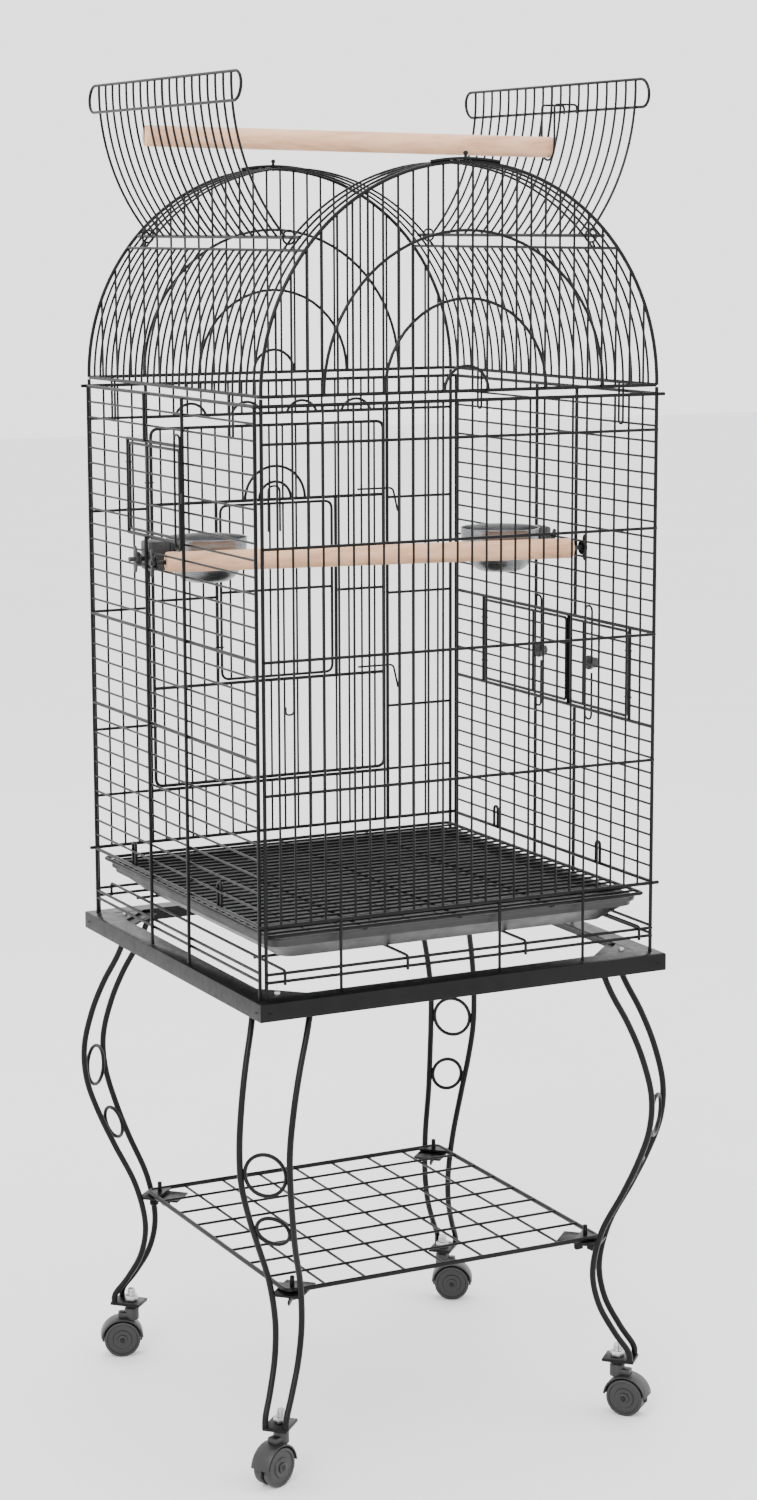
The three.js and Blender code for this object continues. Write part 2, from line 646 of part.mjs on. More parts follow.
// A bowl stands behind the inner perch, just clear of it.
function bowlAt(side, x) {
  const slope = (innerTo[1] - innerFrom[1]) / (innerTo[0] - innerFrom[0]);
  const room = (perchRadius + bowlRadius + runClearance) * Math.hypot(1, slope);
  return { side, x, y: innerFrom[1] + slope * (x - innerFrom[0]) + room };
}
const bowls = { left: bowlAt(-1, -150), right: bowlAt(1, 163) };

function bowl({ side, x, y }) {
  const floor = bowlRadius * 0.5;
  const profile = [[0, 0], [floor, 0], [bowlRadius * 0.78, 9], [bowlRadius * 0.95, 24], [bowlRadius, bowlDepth],
    [bowlRadius - bowlWall, bowlDepth], [bowlRadius * 0.95 - bowlWall, 24.2],
    [bowlRadius * 0.78 - bowlWall, 9.6], [floor - bowlWall / 2, bowlWall], [0, bowlWall]];
  const cup = new THREE.LatheGeometry(profile.map((p) => new THREE.Vector2(...p)), 18)
    .rotateX(Math.PI / 2).translate(x, y, bowlRimHeight - bowlDepth);
  const tab = box(tabThick, tabWidth, tabHeight, x + side * bowlRadius, y, bowlRimHeight - tabDrop);
  return joined([cup, tab]);
}

// Moulded clamp inside the cage wall; the bowl's tab drops into its slot.
function bowlClamp({ side, x, y }) {
  const inner = x + side * (bowlRadius + tabThick / 2 + gap + runClearance);
  const outer = side * (sideX - thinWire / 2 - 2 * gap);
  const z = bowlRimHeight - 16;
  const lip = tabThick + gap;
  const near = inner - (side * lip) / 2;
  const block = box(Math.abs(outer - inner), tabWidth + 8, 30, (inner + outer) / 2, y, z);
  const cheeks = [-1, 1].map((s) => box(lip, 3, 30, near, y + s * (tabWidth / 2 + screwClearance + 1.5), z));
  const shelf = box(lip, tabWidth + 6, 3, near, y, bowlRimHeight - tabDrop - tabHeight / 2 - gap - 1.5);
  const from = (inner + outer) / 2;
  const to = outer + side * clampBoltOut;
  const bolt = cylinder(clampBolt, Math.abs(to - from), 8, 'x', (from + to) / 2, y, boltRow);
  return joined([block, ...cheeks, shelf, bolt]);
}

// ---------------------------------------------------------------- tray, grate and rack
const trayHalfX = sideX - postSurface - sideClearance;

function tray() {
  const [z0, z1] = [standTop + trayLift, standTop + trayLift + trayHeight];
  const [halfW, halfD] = [trayHalfX - trayRim, trayHalfX - trayRim];
  const shell = [
    roundedBlock(halfW, halfD, trayCorner, z0, z1 - 9, trayTaper),
    roundedBlock(halfW + trayRim / 2, halfD + trayRim / 2, trayCorner, z1 - 9.5, z1 - 4),
    roundedBlock(halfW + trayRim, halfD + trayRim, trayCorner, z1 - 4.5, z1)];
  const inside = [
    roundedBlock(halfW - trayWall, halfD - trayWall, trayCorner - trayWall, z0 + trayWall, z1 - 9, trayTaper),
    roundedBlock(halfW - trayWall, halfD - trayWall, trayCorner - trayWall, z1 - 9.5, z1 + 1)];
  return cut(shell, inside);
}

function grate() {
  const half = trayHalfX + grateOverlap;
  const z = standTop + trayLift + trayHeight + 1.5 * thinWire + 2 * gap;
  const count = Math.round((2 * half) / gratePitch);
  const end = half - thickWire / 4;
  const pieces = [
    bentWire([[-half, -half], [half, -half], [half, half], [-half, half]], thickWire, levelAt(z), true)];
  for (let i = 1; i < count; i += 1) {
    const y = -half + (2 * half * i) / count;
    pieces.push(wire([-end, y, z], [end, y, z]));
  }
  const under = z - thinWire - gap;
  for (const x of [-half / 2, 0, half / 2]) pieces.push(wire([x, -end, under], [x, end, under]));
  return joined(pieces);
}

// Wires that carry the tray: they lie on the sill rails of the end panels and hook over them.
function rack() {
  const z = standTop + rackHeight;
  const end = halfY + surface + railWire + gap;
  const pieces = [-1, 1].map((s) => wire([-rackReach, s * rackCross, z - railWire + bite],
    [rackReach, s * rackCross, z - railWire + bite], railWire));
  for (let i = 0; i < rackWires; i += 1) {
    const x = -rackReach + (2 * rackReach * i) / (rackWires - 1);
    pieces.push(bentWire([[-end, z - rackHook], [-end, z], [end, z], [end, z - rackHook]], railWire, alongAt(x)));
  }
  return joined(pieces);
}

// ---------------------------------------------------------------- stand
function baseFrame() {
  const top = standTop;
  const [inside, skirt] = [frameHalf - barFlange, frameHalf - sheet];
  const section = [[inside, top - sheet], [skirt, top - sheet], [skirt, top - barHeight],
    [frameHalf, top - barHeight], [frameHalf, top], [inside, top], [inside, top - sheet]];
  const ring = new THREE.LatheGeometry(
    section.map(([r, z]) => new THREE.Vector2(r * Math.SQRT2, z)), 4, Math.PI / 4).rotateX(Math.PI / 2);
  const pieces = [ring];
  const holes = [];
  for (const [sx, sy] of Object.values(legDirections)) {
    const corner = new THREE.Shape();
    corner.moveTo(0, 0);
    corner.lineTo(-gussetLeg * sx, 0);
    corner.lineTo(0, -gussetLeg * sy);
    const inset = frameHalf - sheet / 2;
    pieces.push(new THREE.ExtrudeGeometry(corner, { depth: sheet - 2 * weld, bevelEnabled: false })
      .translate(sx * inset, sy * inset, top - sheet + weld));
    const at = boltRadius / Math.SQRT2;
    holes.push(cylinder(legBolt + screwClearance, 30, 8, 'z', sx * at, sy * at, top));
  }
  return cut(pieces, holes);
}

const legBolt = 3; // radius
const boltRadius = Math.SQRT2 * frameHalf - 47; // leg bolts, measured from the stand's axis
const legTop = standTop - sheet - gap;

// Leg centre line: distance from the stand's axis, height and half the spacing of the two rods.
const legLine = [
  [258, legTop - 1.5, 30], [272, 462, 29], [290, 430, 28], [305, 395, 27], [315, 355, 26], [313, 318, 25.5],
  [301, 282, 23], [284, 245, 19.5], [262, 202, 16.5], [252, 158, 14], [258, 122, 12.5], [275, 92, 11.5],
  [290, 72, 11], [292, 60, 11]];

function lineAt(height) {
  const k = legLine.findIndex((p) => p[1] <= height);
  const [a, b] = [legLine[k - 1], legLine[k]];
  const t = (a[1] - height) / (a[1] - b[1]);
  return { reach: a[0] + t * (b[0] - a[0]), half: a[2] + t * (b[2] - a[2]), slope: (a[0] - b[0]) / (a[1] - b[1]) };
}

function legRing(height) {
  const { reach, half, slope } = lineAt(height);
  const radius = half - rodRadius - ringWire / 2 + 0.8;
  return new THREE.TorusGeometry(radius, ringWire / 2, 4, 9)
    .rotateY(Math.PI / 2).rotateY(Math.atan(slope))
    .translate(reach, 0, height);
}

// One leg, drawn standing out along +X: two rods, two rings, a top plate, a shelf bracket and a foot.
function leg() {
  const section = new THREE.Shape(Array.from({ length: 5 }, (_, k) => new THREE.Vector2(
    rodRadius * Math.cos((k * 2 * Math.PI) / 5), rodRadius * Math.sin((k * 2 * Math.PI) / 5))));
  const rods = [-1, 1].map((s) => {
    const path = new THREE.CatmullRomCurve3(legLine.map((p) => new THREE.Vector3(p[0], s * p[2], p[1])));
    return new THREE.ExtrudeGeometry(section, { steps: 10, extrudePath: path });
  });
  const bracket = lineAt(shelfHeight);
  const plateZ = shelfHeight - sheet / 2 - gap - shelfFrameWire / 2;
  const solids = [
    ...rods, legRing(upperRingHeight), legRing(lowerRingHeight),
    box(31, 67, 3, boltRadius - 8, 0, legTop - 1.5),
    box(shelfPlate, 2 * bracket.half, sheet, bracket.reach - shelfPlate / 2, 0, plateZ),
    box(34, 26, footThick, footRadius + 3, 0, footHeight)];
  return cut(solids, [
    cylinder(legBolt + screwClearance, 30, 8, 'z', boltRadius, 0, legTop),
    cylinder(shelfBolt + screwClearance, 30, 8, 'z', shelfBoltRadius, 0, shelfHeight),
    cylinder(stemRadius + screwClearance, 20, 10, 'z', footRadius, 0, footHeight)]);
}

// Wing bolt from below the bracket up through the shelf's corner plate.
function wingBolt() {
  const under = shelfHeight - sheet - gap - shelfFrameWire / 2 - gap;
  return joined([
    cylinder(shelfBolt, 20, 8, 'z', shelfBoltRadius, 0, under + 8),
    cylinder(5, 5, 8, 'z', shelfBoltRadius, 0, under - 2.4),
    box(24, 2.5, 9, shelfBoltRadius, 0, under - 7)]);
}

function shelf() {
  const corners = [[-1, -1], [1, -1], [1, 1], [-1, 1]];
  const pieces = [
    bentWire(corners.map(([a, b]) => [a * shelfHalf, b * shelfHalf]), shelfFrameWire,
      levelAt(shelfHeight), true)];
  const cell = (2 * shelfHalf) / shelfCells;
  const lift = railWire / 2 - 0.1;
  for (let i = 1; i < shelfCells; i += 1) {
    const at = -shelfHalf + i * cell;
    const end = shelfHalf;
    pieces.push(wire([at, -end, shelfHeight - lift], [at, end, shelfHeight - lift], 2.5));
    pieces.push(wire([-end, at, shelfHeight + lift], [end, at, shelfHeight + lift], 2.5));
  }
  const holes = [];
  for (const [sx, sy] of Object.values(legDirections)) {
    const plate = new THREE.Shape();
    plate.moveTo(0, 0);
    plate.lineTo(-shelfGusset * sx, 0);
    plate.lineTo(0, -shelfGusset * sy);
    pieces.push(new THREE.ExtrudeGeometry(plate, { depth: sheet, bevelEnabled: false })
      .translate(sx * shelfHalf, sy * shelfHalf, shelfHeight - sheet / 2));
    const at = shelfBoltRadius / Math.SQRT2;
    holes.push(cylinder(shelfBolt + screwClearance, 20, 8, 'z', sx * at, sy * at, shelfHeight));
  }
  return cut(pieces, holes);
}

// ---------------------------------------------------------------- casters
// Caster hood with its stem and axle; the stem stands at the origin, the wheels trail along +X.
function casterHood() {
  const full = 2 * wheelWidth + webThick + 4 * gap;
  const hood = cylinder(wheelRadius + 3.5, full, 12, 'y', trail, 0, wheelRadius);
  const hollow = cylinder(wheelRadius + 3.5 - hoodWall, full + 2, 12, 'y', trail, 0, wheelRadius);
  const shell = solid(hood).subtract(solid(hollow))
    .subtract(solid(box(80, 80, 40, trail, 0, wheelRadius - 20 + 2)));
  const web = solid(cylinder(wheelRadius + 2.5, webThick, 12, 'y', trail, 0, wheelRadius))
    .subtract(solid(box(80, 80, 40, trail, 0, wheelRadius - 20 - 6)));
  const top = 2 * wheelRadius + 3.5;
  const rest = union([
    cylinder(axleRadius, full + 3, 8, 'y', trail, 0, wheelRadius),
    cylinder(axleRadius + 2, 1.5, 8, 'y', trail, full / 2 + 1, wheelRadius),
    cylinder(axleRadius + 2, 1.5, 8, 'y', trail, -full / 2 - 1, wheelRadius),
    cylinder(8, 14, 10, 'z', 0, 0, top + 5),
    box(18, 12, 8, 6, 0, top + 2.3),
    cylinder(stemRadius, 26, 10, 'z', 0, 0, top + 19)]);
  return geometryOf(shell.add(web).add(rest));
}

function casterWheel(side) {
  const bore = axleRadius + 0.35;
  const half = wheelWidth / 2;
  const profile = [[bore, -half], [wheelRadius - 2, -half], [wheelRadius, -half + 1.5],
    [wheelRadius, half - 1.5], [wheelRadius - 2, half], [bore, half], [bore, -half]];
  return new THREE.LatheGeometry(profile.map((p) => new THREE.Vector2(...p)), 12)
    .translate(0, side * (half + webThick / 2 + gap), 0);
}

const casterYaw = { near: 205, right: 310, left: 160, far: 330 };

place('back_panel', backPanel(), 'steel');
place('door_panel', doorPanel(), 'steel');
place('left_panel', sidePanel(-1, [leftOpening], leftPosts), 'steel');
place('right_panel', sidePanel(1, rightOpenings, rightPosts), 'steel');
place('main_door', mainDoor(), 'steel');
place('inner_door', innerDoor(), 'steel');
place('inner_door_latch', innerLatch(), 'steel');
place('inner_door_bail', innerBail(), 'steel');
place('upper_slide_bolt', slideBolt(standTop + 445), 'steel');
place('lower_slide_bolt', slideBolt(standTop + 246), 'steel');
place('left_feeder_door', feederDoor(-1, leftOpening, feederPitches, 50), 'steel');
place('left_feeder_latch', hairpin(-1, -40, rowZ(leftFeederPitches) - 6,
  rowZ(leftFeederPitches + feederPitches) + 12), 'steel');
rightOpenings.forEach((opening, i) => {
  const name = ['right_feeder_door_small', 'right_feeder_door_large'][i];
  place(name, feederDoor(1, opening, feederPitches, [-72, 34][i]), 'steel');
  place(name.replace('door', 'latch'), hairpin(1, [-72, 34][i], rowZ(lowRailPitches) - 12,
    rowZ(highRailPitches) + 12), 'steel');
});
place('dome_back_end', domeEnd(-1), 'steel');
place('dome_front_end', domeEnd(1), 'steel');
place('dome_left_wall', domeWall(-1), 'steel');
place('dome_right_wall', domeWall(1), 'steel');
place('left_top_door', topDoor(-1), 'steel');
place('right_top_door', topDoor(1), 'steel');
place('play_perch', playPerch(), 'wood');
place('perch_hook', perchHook(), 'steel');
place('inner_perch', innerPerch(), 'wood');
place('left_perch_nut', wingNut(-1, innerFrom[1], boltRow), 'zinc');
place('right_perch_nut', wingNut(1, innerTo[1], boltRow), 'zinc');
for (const [name, spec] of Object.entries(bowls)) {
  place(`${name}_bowl`, bowl(spec), 'stainless');
  place(`${name}_bowl_clamp`, bowlClamp(spec), 'plastic');
  place(`${name}_bowl_nut`, wingNut(spec.side, spec.y, boltRow), 'plastic');
}
place('tray', tray(), 'plastic');
place('grate', grate(), 'steel');
place('tray_rack', rack(), 'steel');
place('base_frame', baseFrame(), 'steel');
place('shelf', shelf(), 'steel');

for (const [name, [sx, sy]] of Object.entries(legDirections)) {
  const corner = new THREE.Group();
  corner.rotation.z = Math.atan2(sy, sx);
  cage.add(corner);
  place(`${name}_leg`, leg(), 'steel', corner);
  place(`${name}_shelf_wing_bolt`, wingBolt(), 'steel', corner);
  const caster = new THREE.Group();
  caster.position.set((sx * footRadius) / Math.SQRT2, (sy * footRadius) / Math.SQRT2, 0);
  caster.rotation.z = THREE.MathUtils.degToRad(casterYaw[name]);
  cage.add(caster);
  place(`${name}_caster`, casterHood(), 'plastic', caster);
  for (const side of [-1, 1]) {
    const wheel = place(`${name}_wheel_${side < 0 ? 'a' : 'b'}`, casterWheel(side), 'plastic', caster);
    wheel.position.set(trail, 0, wheelRadius);
  }
}

export default cage;
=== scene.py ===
import math

import bpy
from mathutils import Matrix, Vector


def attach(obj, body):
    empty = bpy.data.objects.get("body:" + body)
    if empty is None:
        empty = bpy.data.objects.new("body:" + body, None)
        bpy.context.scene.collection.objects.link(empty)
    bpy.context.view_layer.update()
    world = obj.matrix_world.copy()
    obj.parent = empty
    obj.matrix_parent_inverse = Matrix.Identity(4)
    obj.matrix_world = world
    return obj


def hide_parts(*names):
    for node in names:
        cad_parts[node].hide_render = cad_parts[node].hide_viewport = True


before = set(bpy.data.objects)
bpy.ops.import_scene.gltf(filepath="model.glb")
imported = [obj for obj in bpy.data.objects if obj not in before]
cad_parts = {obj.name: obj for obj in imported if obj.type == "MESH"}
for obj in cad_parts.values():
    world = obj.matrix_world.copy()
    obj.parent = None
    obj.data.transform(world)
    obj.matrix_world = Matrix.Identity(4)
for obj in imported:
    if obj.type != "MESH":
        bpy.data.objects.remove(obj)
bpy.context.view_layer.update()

# ------------------------------------------------------------------ sizes, in millimetres
# Cage body: half its width, side panels, their corner posts, and the pitch of the wires
HALF, SIDE_X, CORNER_Y, PITCH = 216.0, 220.0, 210.0, 16.0
LAST_WIRE = 27
# Heights of the stand's top, of the body's bottom and top rails, and of the dome's base
STAND, BOTTOM, TOP, DOME = 500.0, 572.0, 1068.0, 1077.0
# Wire sizes, and how far rails and posts lie outside the wires that they cross
THIN, RAIL, THICK = 2.35, 3.1, 3.7
SURF, POST_SURF = 2.8, 3.05
GAP, HINGE_ROOM = 0.3, 4.9
# Hinge bars of the top doors (above the dome's base) and rails of the top opening
HINGE_X, HINGE_Z, VAULT_X = 165.0, 146.0, 169.5
BOLT_Z = BOTTOM + 20.5 * PITCH
SIDES = 8


def wire_x(i):
    return -HALF + PITCH * i


def row_z(i):
    return BOTTOM + PITCH * i


# ------------------------------------------------------------------ shape kit
class Shape:
    """Collects round wires, lofts, blocks and turned forms, in millimetres, as one mesh."""

    def __init__(self):
        self.verts, self.faces = [], []
        self.turn = Matrix.Identity(4)

    def add(self, verts, faces):
        n = len(self.verts)
        self.verts += [self.turn @ Vector(v) for v in verts]
        self.faces += [[n + k for k in f] for f in faces]

    def tube(self, points, size, closed=False, sides=SIDES):
        p = [Vector(q) for q in points]
        n = len(p)
        dirs = []
        for k in range(n):
            a = p[k - 1] if closed or k else p[0]
            b = p[(k + 1) % n] if closed or k < n - 1 else p[-1]
            t = (p[k] - a).normalized() + (b - p[k]).normalized()
            dirs.append(t.normalized())
        axes = [Vector((1, 0, 0)), Vector((0, 1, 0)), Vector((0, 0, 1))]
        up = min(axes, key=lambda a: max(abs(a.dot(d)) for d in dirs))
        verts, faces = [], []
        for q, t in zip(p, dirs):
            s = t.cross(up).normalized()
            u = s.cross(t)
            for j in range(sides):
                w = 2 * math.pi * (j + 0.5) / sides
                verts.append(q + (s * math.cos(w) + u * math.sin(w)) * size / 2)
        for k in range(n if closed else n - 1):
            for j in range(sides):
                a, b = k * sides, ((k + 1) % n) * sides
                faces.append([a + j, a + (j + 1) % sides, b + (j + 1) % sides, b + j])
        if not closed:
            faces.append(list(range(sides))[::-1])
            faces.append([(n - 1) * sides + j for j in range(sides)])
        self.add(verts, faces)

    def wire(self, a, b, size=THIN):
        self.tube([a, b], size)

    def loft(self, loops, closed=False, caps=True):
        n = len(loops[0])
        faces = []
        for k in range(len(loops) if closed else len(loops) - 1):
            for j in range(n):
                a, b = k * n, ((k + 1) % len(loops)) * n
                faces.append([a + j, a + (j + 1) % n, b + (j + 1) % n, b + j])
        if caps and not closed:
            faces.append(list(range(n))[::-1])
            faces.append([(len(loops) - 1) * n + j for j in range(n)])
        self.add([v for loop in loops for v in loop], faces)

    def block(self, size, centre, edge=0.6):
        """A box with chamfered edges, as a stack of rounded sections."""
        x, y, z = (s / 2 for s in size)
        cx, cy, cz = centre
        edge = min(edge, x * 0.45, y * 0.45, z * 0.45)
        steps = [(-z, edge), (-z + edge * 0.3, edge * 0.3), (-z + edge, 0)]
        steps += [(-h, inset) for h, inset in reversed(steps)]
        self.loft([rounded(x - inset, y - inset, max(edge, 0.05), cz + h, 3, cx, cy) for h, inset in steps])

    def turned(self, profile, centre=(0, 0, 0), axis="z", sides=48, closed=False):
        """Revolves (radius, height) pairs about an axis through centre."""
        loops = []
        for r, h in profile:
            loop = []
            for j in range(sides):
                w = 2 * math.pi * j / sides
                c, s = r * math.cos(w), r * math.sin(w)
                loop.append({"z": (c, s, h), "x": (h, c, s), "y": (s, h, c)}[axis])
            loops.append([Vector(q) + Vector(centre) for q in loop])
        self.loft(loops, closed=closed)


def rounded(hx, hy, r, z, n=6, cx=0.0, cy=0.0):
    """Points round a level rectangle with round corners."""
    out = []
    for k, (sx, sy) in enumerate([(1, 1), (-1, 1), (-1, -1), (1, -1)]):
        for j in range(n + 1):
            w = math.pi / 2 * (k + j / n)
            x, y = sx * (hx - r) + r * math.cos(w), sy * (hy - r) + r * math.sin(w)
            out.append(Vector((cx + x, cy + y, z)))
    return out


def bend(points, radius, closed=False, n=5):
    """The same path with its corners rounded to a radius."""
    p = [Vector(q) for q in points]
    out = [] if closed else [p[0]]
    for k in range(len(p)) if closed else range(1, len(p) - 1):
        a, b, c = p[k - 1], p[k], p[(k + 1) % len(p)]
        u, v = (a - b), (c - b)
        reach = min(radius, u.length * 0.49, v.length * 0.49)
        s, e = b + u.normalized() * reach, b + v.normalized() * reach
        for j in range(n + 1):
            t = j / n
            out.append(s * (1 - t) ** 2 + b * 2 * t * (1 - t) + e * t ** 2)
    if not closed:
        out.append(p[-1])
    return out


def arc(r, start, end, centre, n=40):
    """Points of an arc in an upright plane across the cage."""
    x, y, z = centre
    angles = [start + (end - start) * k / n for k in range(n + 1)]
    return [(x + r * math.cos(w), y, z + r * math.sin(w)) for w in angles]


def spline(points, n=6):
    """Catmull-Rom curve through the points."""
    p = [Vector(q) for q in points]
    p = [p[0] * 2 - p[1], *p, p[-1] * 2 - p[-2]]
    out = []
    for k in range(1, len(p) - 2):
        a, b, c, d = p[k - 1:k + 3]
        for j in range(n):
            t = j / n
            square, cube = 2 * a - 5 * b + 4 * c - d, 3 * b - a - 3 * c + d
            out.append(0.5 * (2 * b + (c - a) * t + square * t * t + cube * t ** 3))
    return [*out, p[-2]]


def square(half, z, radius):
    """A level square with bent corners, as a closed path."""
    corners = [(-half, -half, z), (half, -half, z), (half, half, z), (-half, half, z)]
    return bend(corners, radius, closed=True)


def thread(radius, groove, start, pitch, turns):
    """Profile of a bolt's thread: radii that step in and out along it."""
    return [(radius - groove * (k % 2), start + pitch * k) for k in range(turns)]


def make(name, shape, body, material, nodes=(), smooth=40):
    """Turns a shape into an object of the scene, in metres, riding on a CAD body."""
    mesh = bpy.data.meshes.new(name)
    mesh.from_pydata([v * 0.001 for v in shape.verts], [], shape.faces)
    mesh.polygons.foreach_set("use_smooth", [True] * len(mesh.polygons))
    mesh.set_sharp_from_angle(angle=math.radians(smooth))
    mesh.materials.append(material)
    piece = bpy.data.objects.new(name, mesh)
    bpy.context.scene.collection.objects.link(piece)
    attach(piece, body)
    if nodes:
        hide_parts(*nodes)
    return piece


# ------------------------------------------------------------------ materials
def new_material(name, colour, roughness, metallic=0.0):
    m = bpy.data.materials.new(name)
    m.use_nodes = True
    shader = m.node_tree.nodes["Principled BSDF"]
    shader.inputs["Base Color"].default_value = (*colour, 1)
    shader.inputs["Roughness"].default_value = roughness
    shader.inputs["Metallic"].default_value = metallic
    return m, m.node_tree.nodes, m.node_tree.links, shader


def noise(nodes, links, scale, detail=3.0, stretch=None, rough=0.55):
    place = nodes.new("ShaderNodeTexCoord")
    n = nodes.new("ShaderNodeTexNoise")
    n.inputs["Scale"].default_value = scale
    n.inputs["Detail"].default_value = detail
    n.inputs["Roughness"].default_value = rough
    source = place.outputs["Object"]
    if stretch:
        m = nodes.new("ShaderNodeMapping")
        m.inputs["Rotation"].default_value = (0, 0, stretch[1])
        m.inputs["Scale"].default_value = stretch[0]
        links.new(source, m.inputs["Vector"])
        source = m.outputs["Vector"]
    links.new(source, n.inputs["Vector"])
    return n.outputs["Fac"]


def vary(nodes, links, socket, value, stops):
    """Feeds a socket with a value spread over a ramp of colours or greys."""
    ramp = nodes.new("ShaderNodeValToRGB")
    while len(ramp.color_ramp.elements) < len(stops):
        ramp.color_ramp.elements.new(0.5)
    for e, (at, c) in zip(ramp.color_ramp.elements, stops):
        e.position = at
        e.color = (*c, 1) if isinstance(c, tuple) else (c, c, c, 1)
    links.new(value, ramp.inputs["Fac"])
    links.new(ramp.outputs["Color"], socket)


def bump(nodes, links, shader, height, strength, distance):
    b = nodes.new("ShaderNodeBump")
    b.inputs["Strength"].default_value = strength
    b.inputs["Distance"].default_value = distance
    links.new(height, b.inputs["Height"])
    links.new(b.outputs["Normal"], shader.inputs["Normal"])


def coated_steel():
    m, nodes, links, shader = new_material("black_powder_coat", (0.006, 0.006, 0.0065), 0.42)
    colours = [(0.3, (0.0015, 0.0015, 0.0018)), (0.75, (0.004, 0.004, 0.0044))]
    vary(nodes, links, shader.inputs["Base Color"], noise(nodes, links, 38, 4), colours)
    vary(nodes, links, shader.inputs["Roughness"], noise(nodes, links, 120, 3), [(0.3, 0.28), (0.75, 0.42)])
    bump(nodes, links, shader, noise(nodes, links, 1400, 2), 0.25, 0.00025)
    shader.inputs["Specular IOR Level"].default_value = 0.16
    return m


def moulded_plastic():
    m, nodes, links, shader = new_material("black_moulded_plastic", (0.014, 0.014, 0.015), 0.5)
    colours = [(0.3, (0.006, 0.006, 0.0065)), (0.8, (0.013, 0.013, 0.014))]
    vary(nodes, links, shader.inputs["Base Color"], noise(nodes, links, 14, 5), colours)
    vary(nodes, links, shader.inputs["Roughness"], noise(nodes, links, 60, 4), [(0.3, 0.4), (0.8, 0.58)])
    bump(nodes, links, shader, noise(nodes, links, 950, 2), 0.35, 0.0003)
    return m


def beech(name, turn):
    """Bare beech whose grain runs along a rod turned by this angle."""
    m, nodes, links, shader = new_material(name, (0.75, 0.5, 0.36), 0.55)
    grain = noise(nodes, links, 90, 6, ((0.035, 1.0, 1.0), -turn), 0.62)
    colours = [(0.28, (0.42, 0.215, 0.12)), (0.5, (0.6, 0.345, 0.205)), (0.72, (0.72, 0.45, 0.29))]
    vary(nodes, links, shader.inputs["Base Color"], grain, colours)
    flecks = noise(nodes, links, 620, 3, ((0.08, 1.0, 1.0), -turn), 0.7)
    vary(nodes, links, shader.inputs["Roughness"], flecks, [(0.35, 0.46), (0.7, 0.64)])
    bump(nodes, links, shader, flecks, 0.3, 0.0003)
    return m


def spun_steel():
    m, nodes, links, shader = new_material("spun_stainless", (0.36, 0.37, 0.38), 0.24, 1.0)
    lines = noise(nodes, links, 260, 4, ((0.15, 0.15, 8.0), 0), 0.6)
    vary(nodes, links, shader.inputs["Roughness"], lines, [(0.3, 0.2), (0.75, 0.4)])
    colours = [(0.3, (0.17, 0.175, 0.18)), (0.8, (0.29, 0.295, 0.30))]
    vary(nodes, links, shader.inputs["Base Color"], noise(nodes, links, 25, 3), colours)
    bump(nodes, links, shader, lines, 0.12, 0.0002)
    return m


def plated_zinc(name, dark, light):
    m, nodes, links, shader = new_material(name, (light,) * 3, 0.36, 1.0)
    spangle = noise(nodes, links, 320, 5)
    vary(nodes, links, shader.inputs["Base Color"], spangle, [(0.3, dark), (0.75, light)])
    vary(nodes, links, shader.inputs["Roughness"], spangle, [(0.3, 0.28), (0.75, 0.5)])
    bump(nodes, links, shader, noise(nodes, links, 900, 2), 0.2, 0.0002)
    return m


STEEL, PLASTIC, STAINLESS = coated_steel(), moulded_plastic(), spun_steel()
ZINC, BLACK_ZINC = plated_zinc("zinc_plate", 0.36, 0.6), plated_zinc("black_zinc_plate", 0.018, 0.05)


def steel(name, shape, body, *nodes):
    return make(name, shape, body, STEEL, nodes)


def plastic(name, shape, body, *nodes, smooth=32):
    return make(name, shape, body, PLASTIC, nodes, smooth)


# ------------------------------------------------------------------ camera, light, floor
def aim(obj, direction):
    obj.rotation_euler = Vector(direction).to_track_quat("-Z", "Y").to_euler()


def camera():
    """A long lens in front and to the left, looking a little down."""
    yaw, pitch, roll = math.radians(-26.868), math.radians(9.853), math.radians(-0.19)
    data = bpy.data.cameras.new("camera")
    data.sensor_fit = "VERTICAL"
    data.sensor_height = 36
    data.lens = 72.936
    data.clip_end = 60
    cam = bpy.data.objects.new("camera", data)
    back = Vector((math.sin(yaw) * math.cos(pitch), -math.cos(yaw) * math.cos(pitch), math.sin(pitch)))
    right = Vector((math.cos(yaw), math.sin(yaw), 0))
    up = back.cross(right)
    right, up = right * math.cos(roll) + up * math.sin(roll), up * math.cos(roll) - right * math.sin(roll)
    turn = Matrix((right, up, back)).transposed().to_4x4()
    cam.matrix_world = Matrix.Translation((-1.4006, -2.7938, 1.2367)) @ turn
    bpy.context.scene.collection.objects.link(cam)
    bpy.context.scene.camera = cam


def light(name, place, size, power, target=(0, 0, 0.7)):
    data = bpy.data.lights.new(name, "AREA")
    data.shape = "DISK"
    data.size = size
    data.energy = power
    lamp = bpy.data.objects.new(name, data)
    lamp.location = place
    aim(lamp, Vector(target) - Vector(place))
    bpy.context.scene.collection.objects.link(lamp)


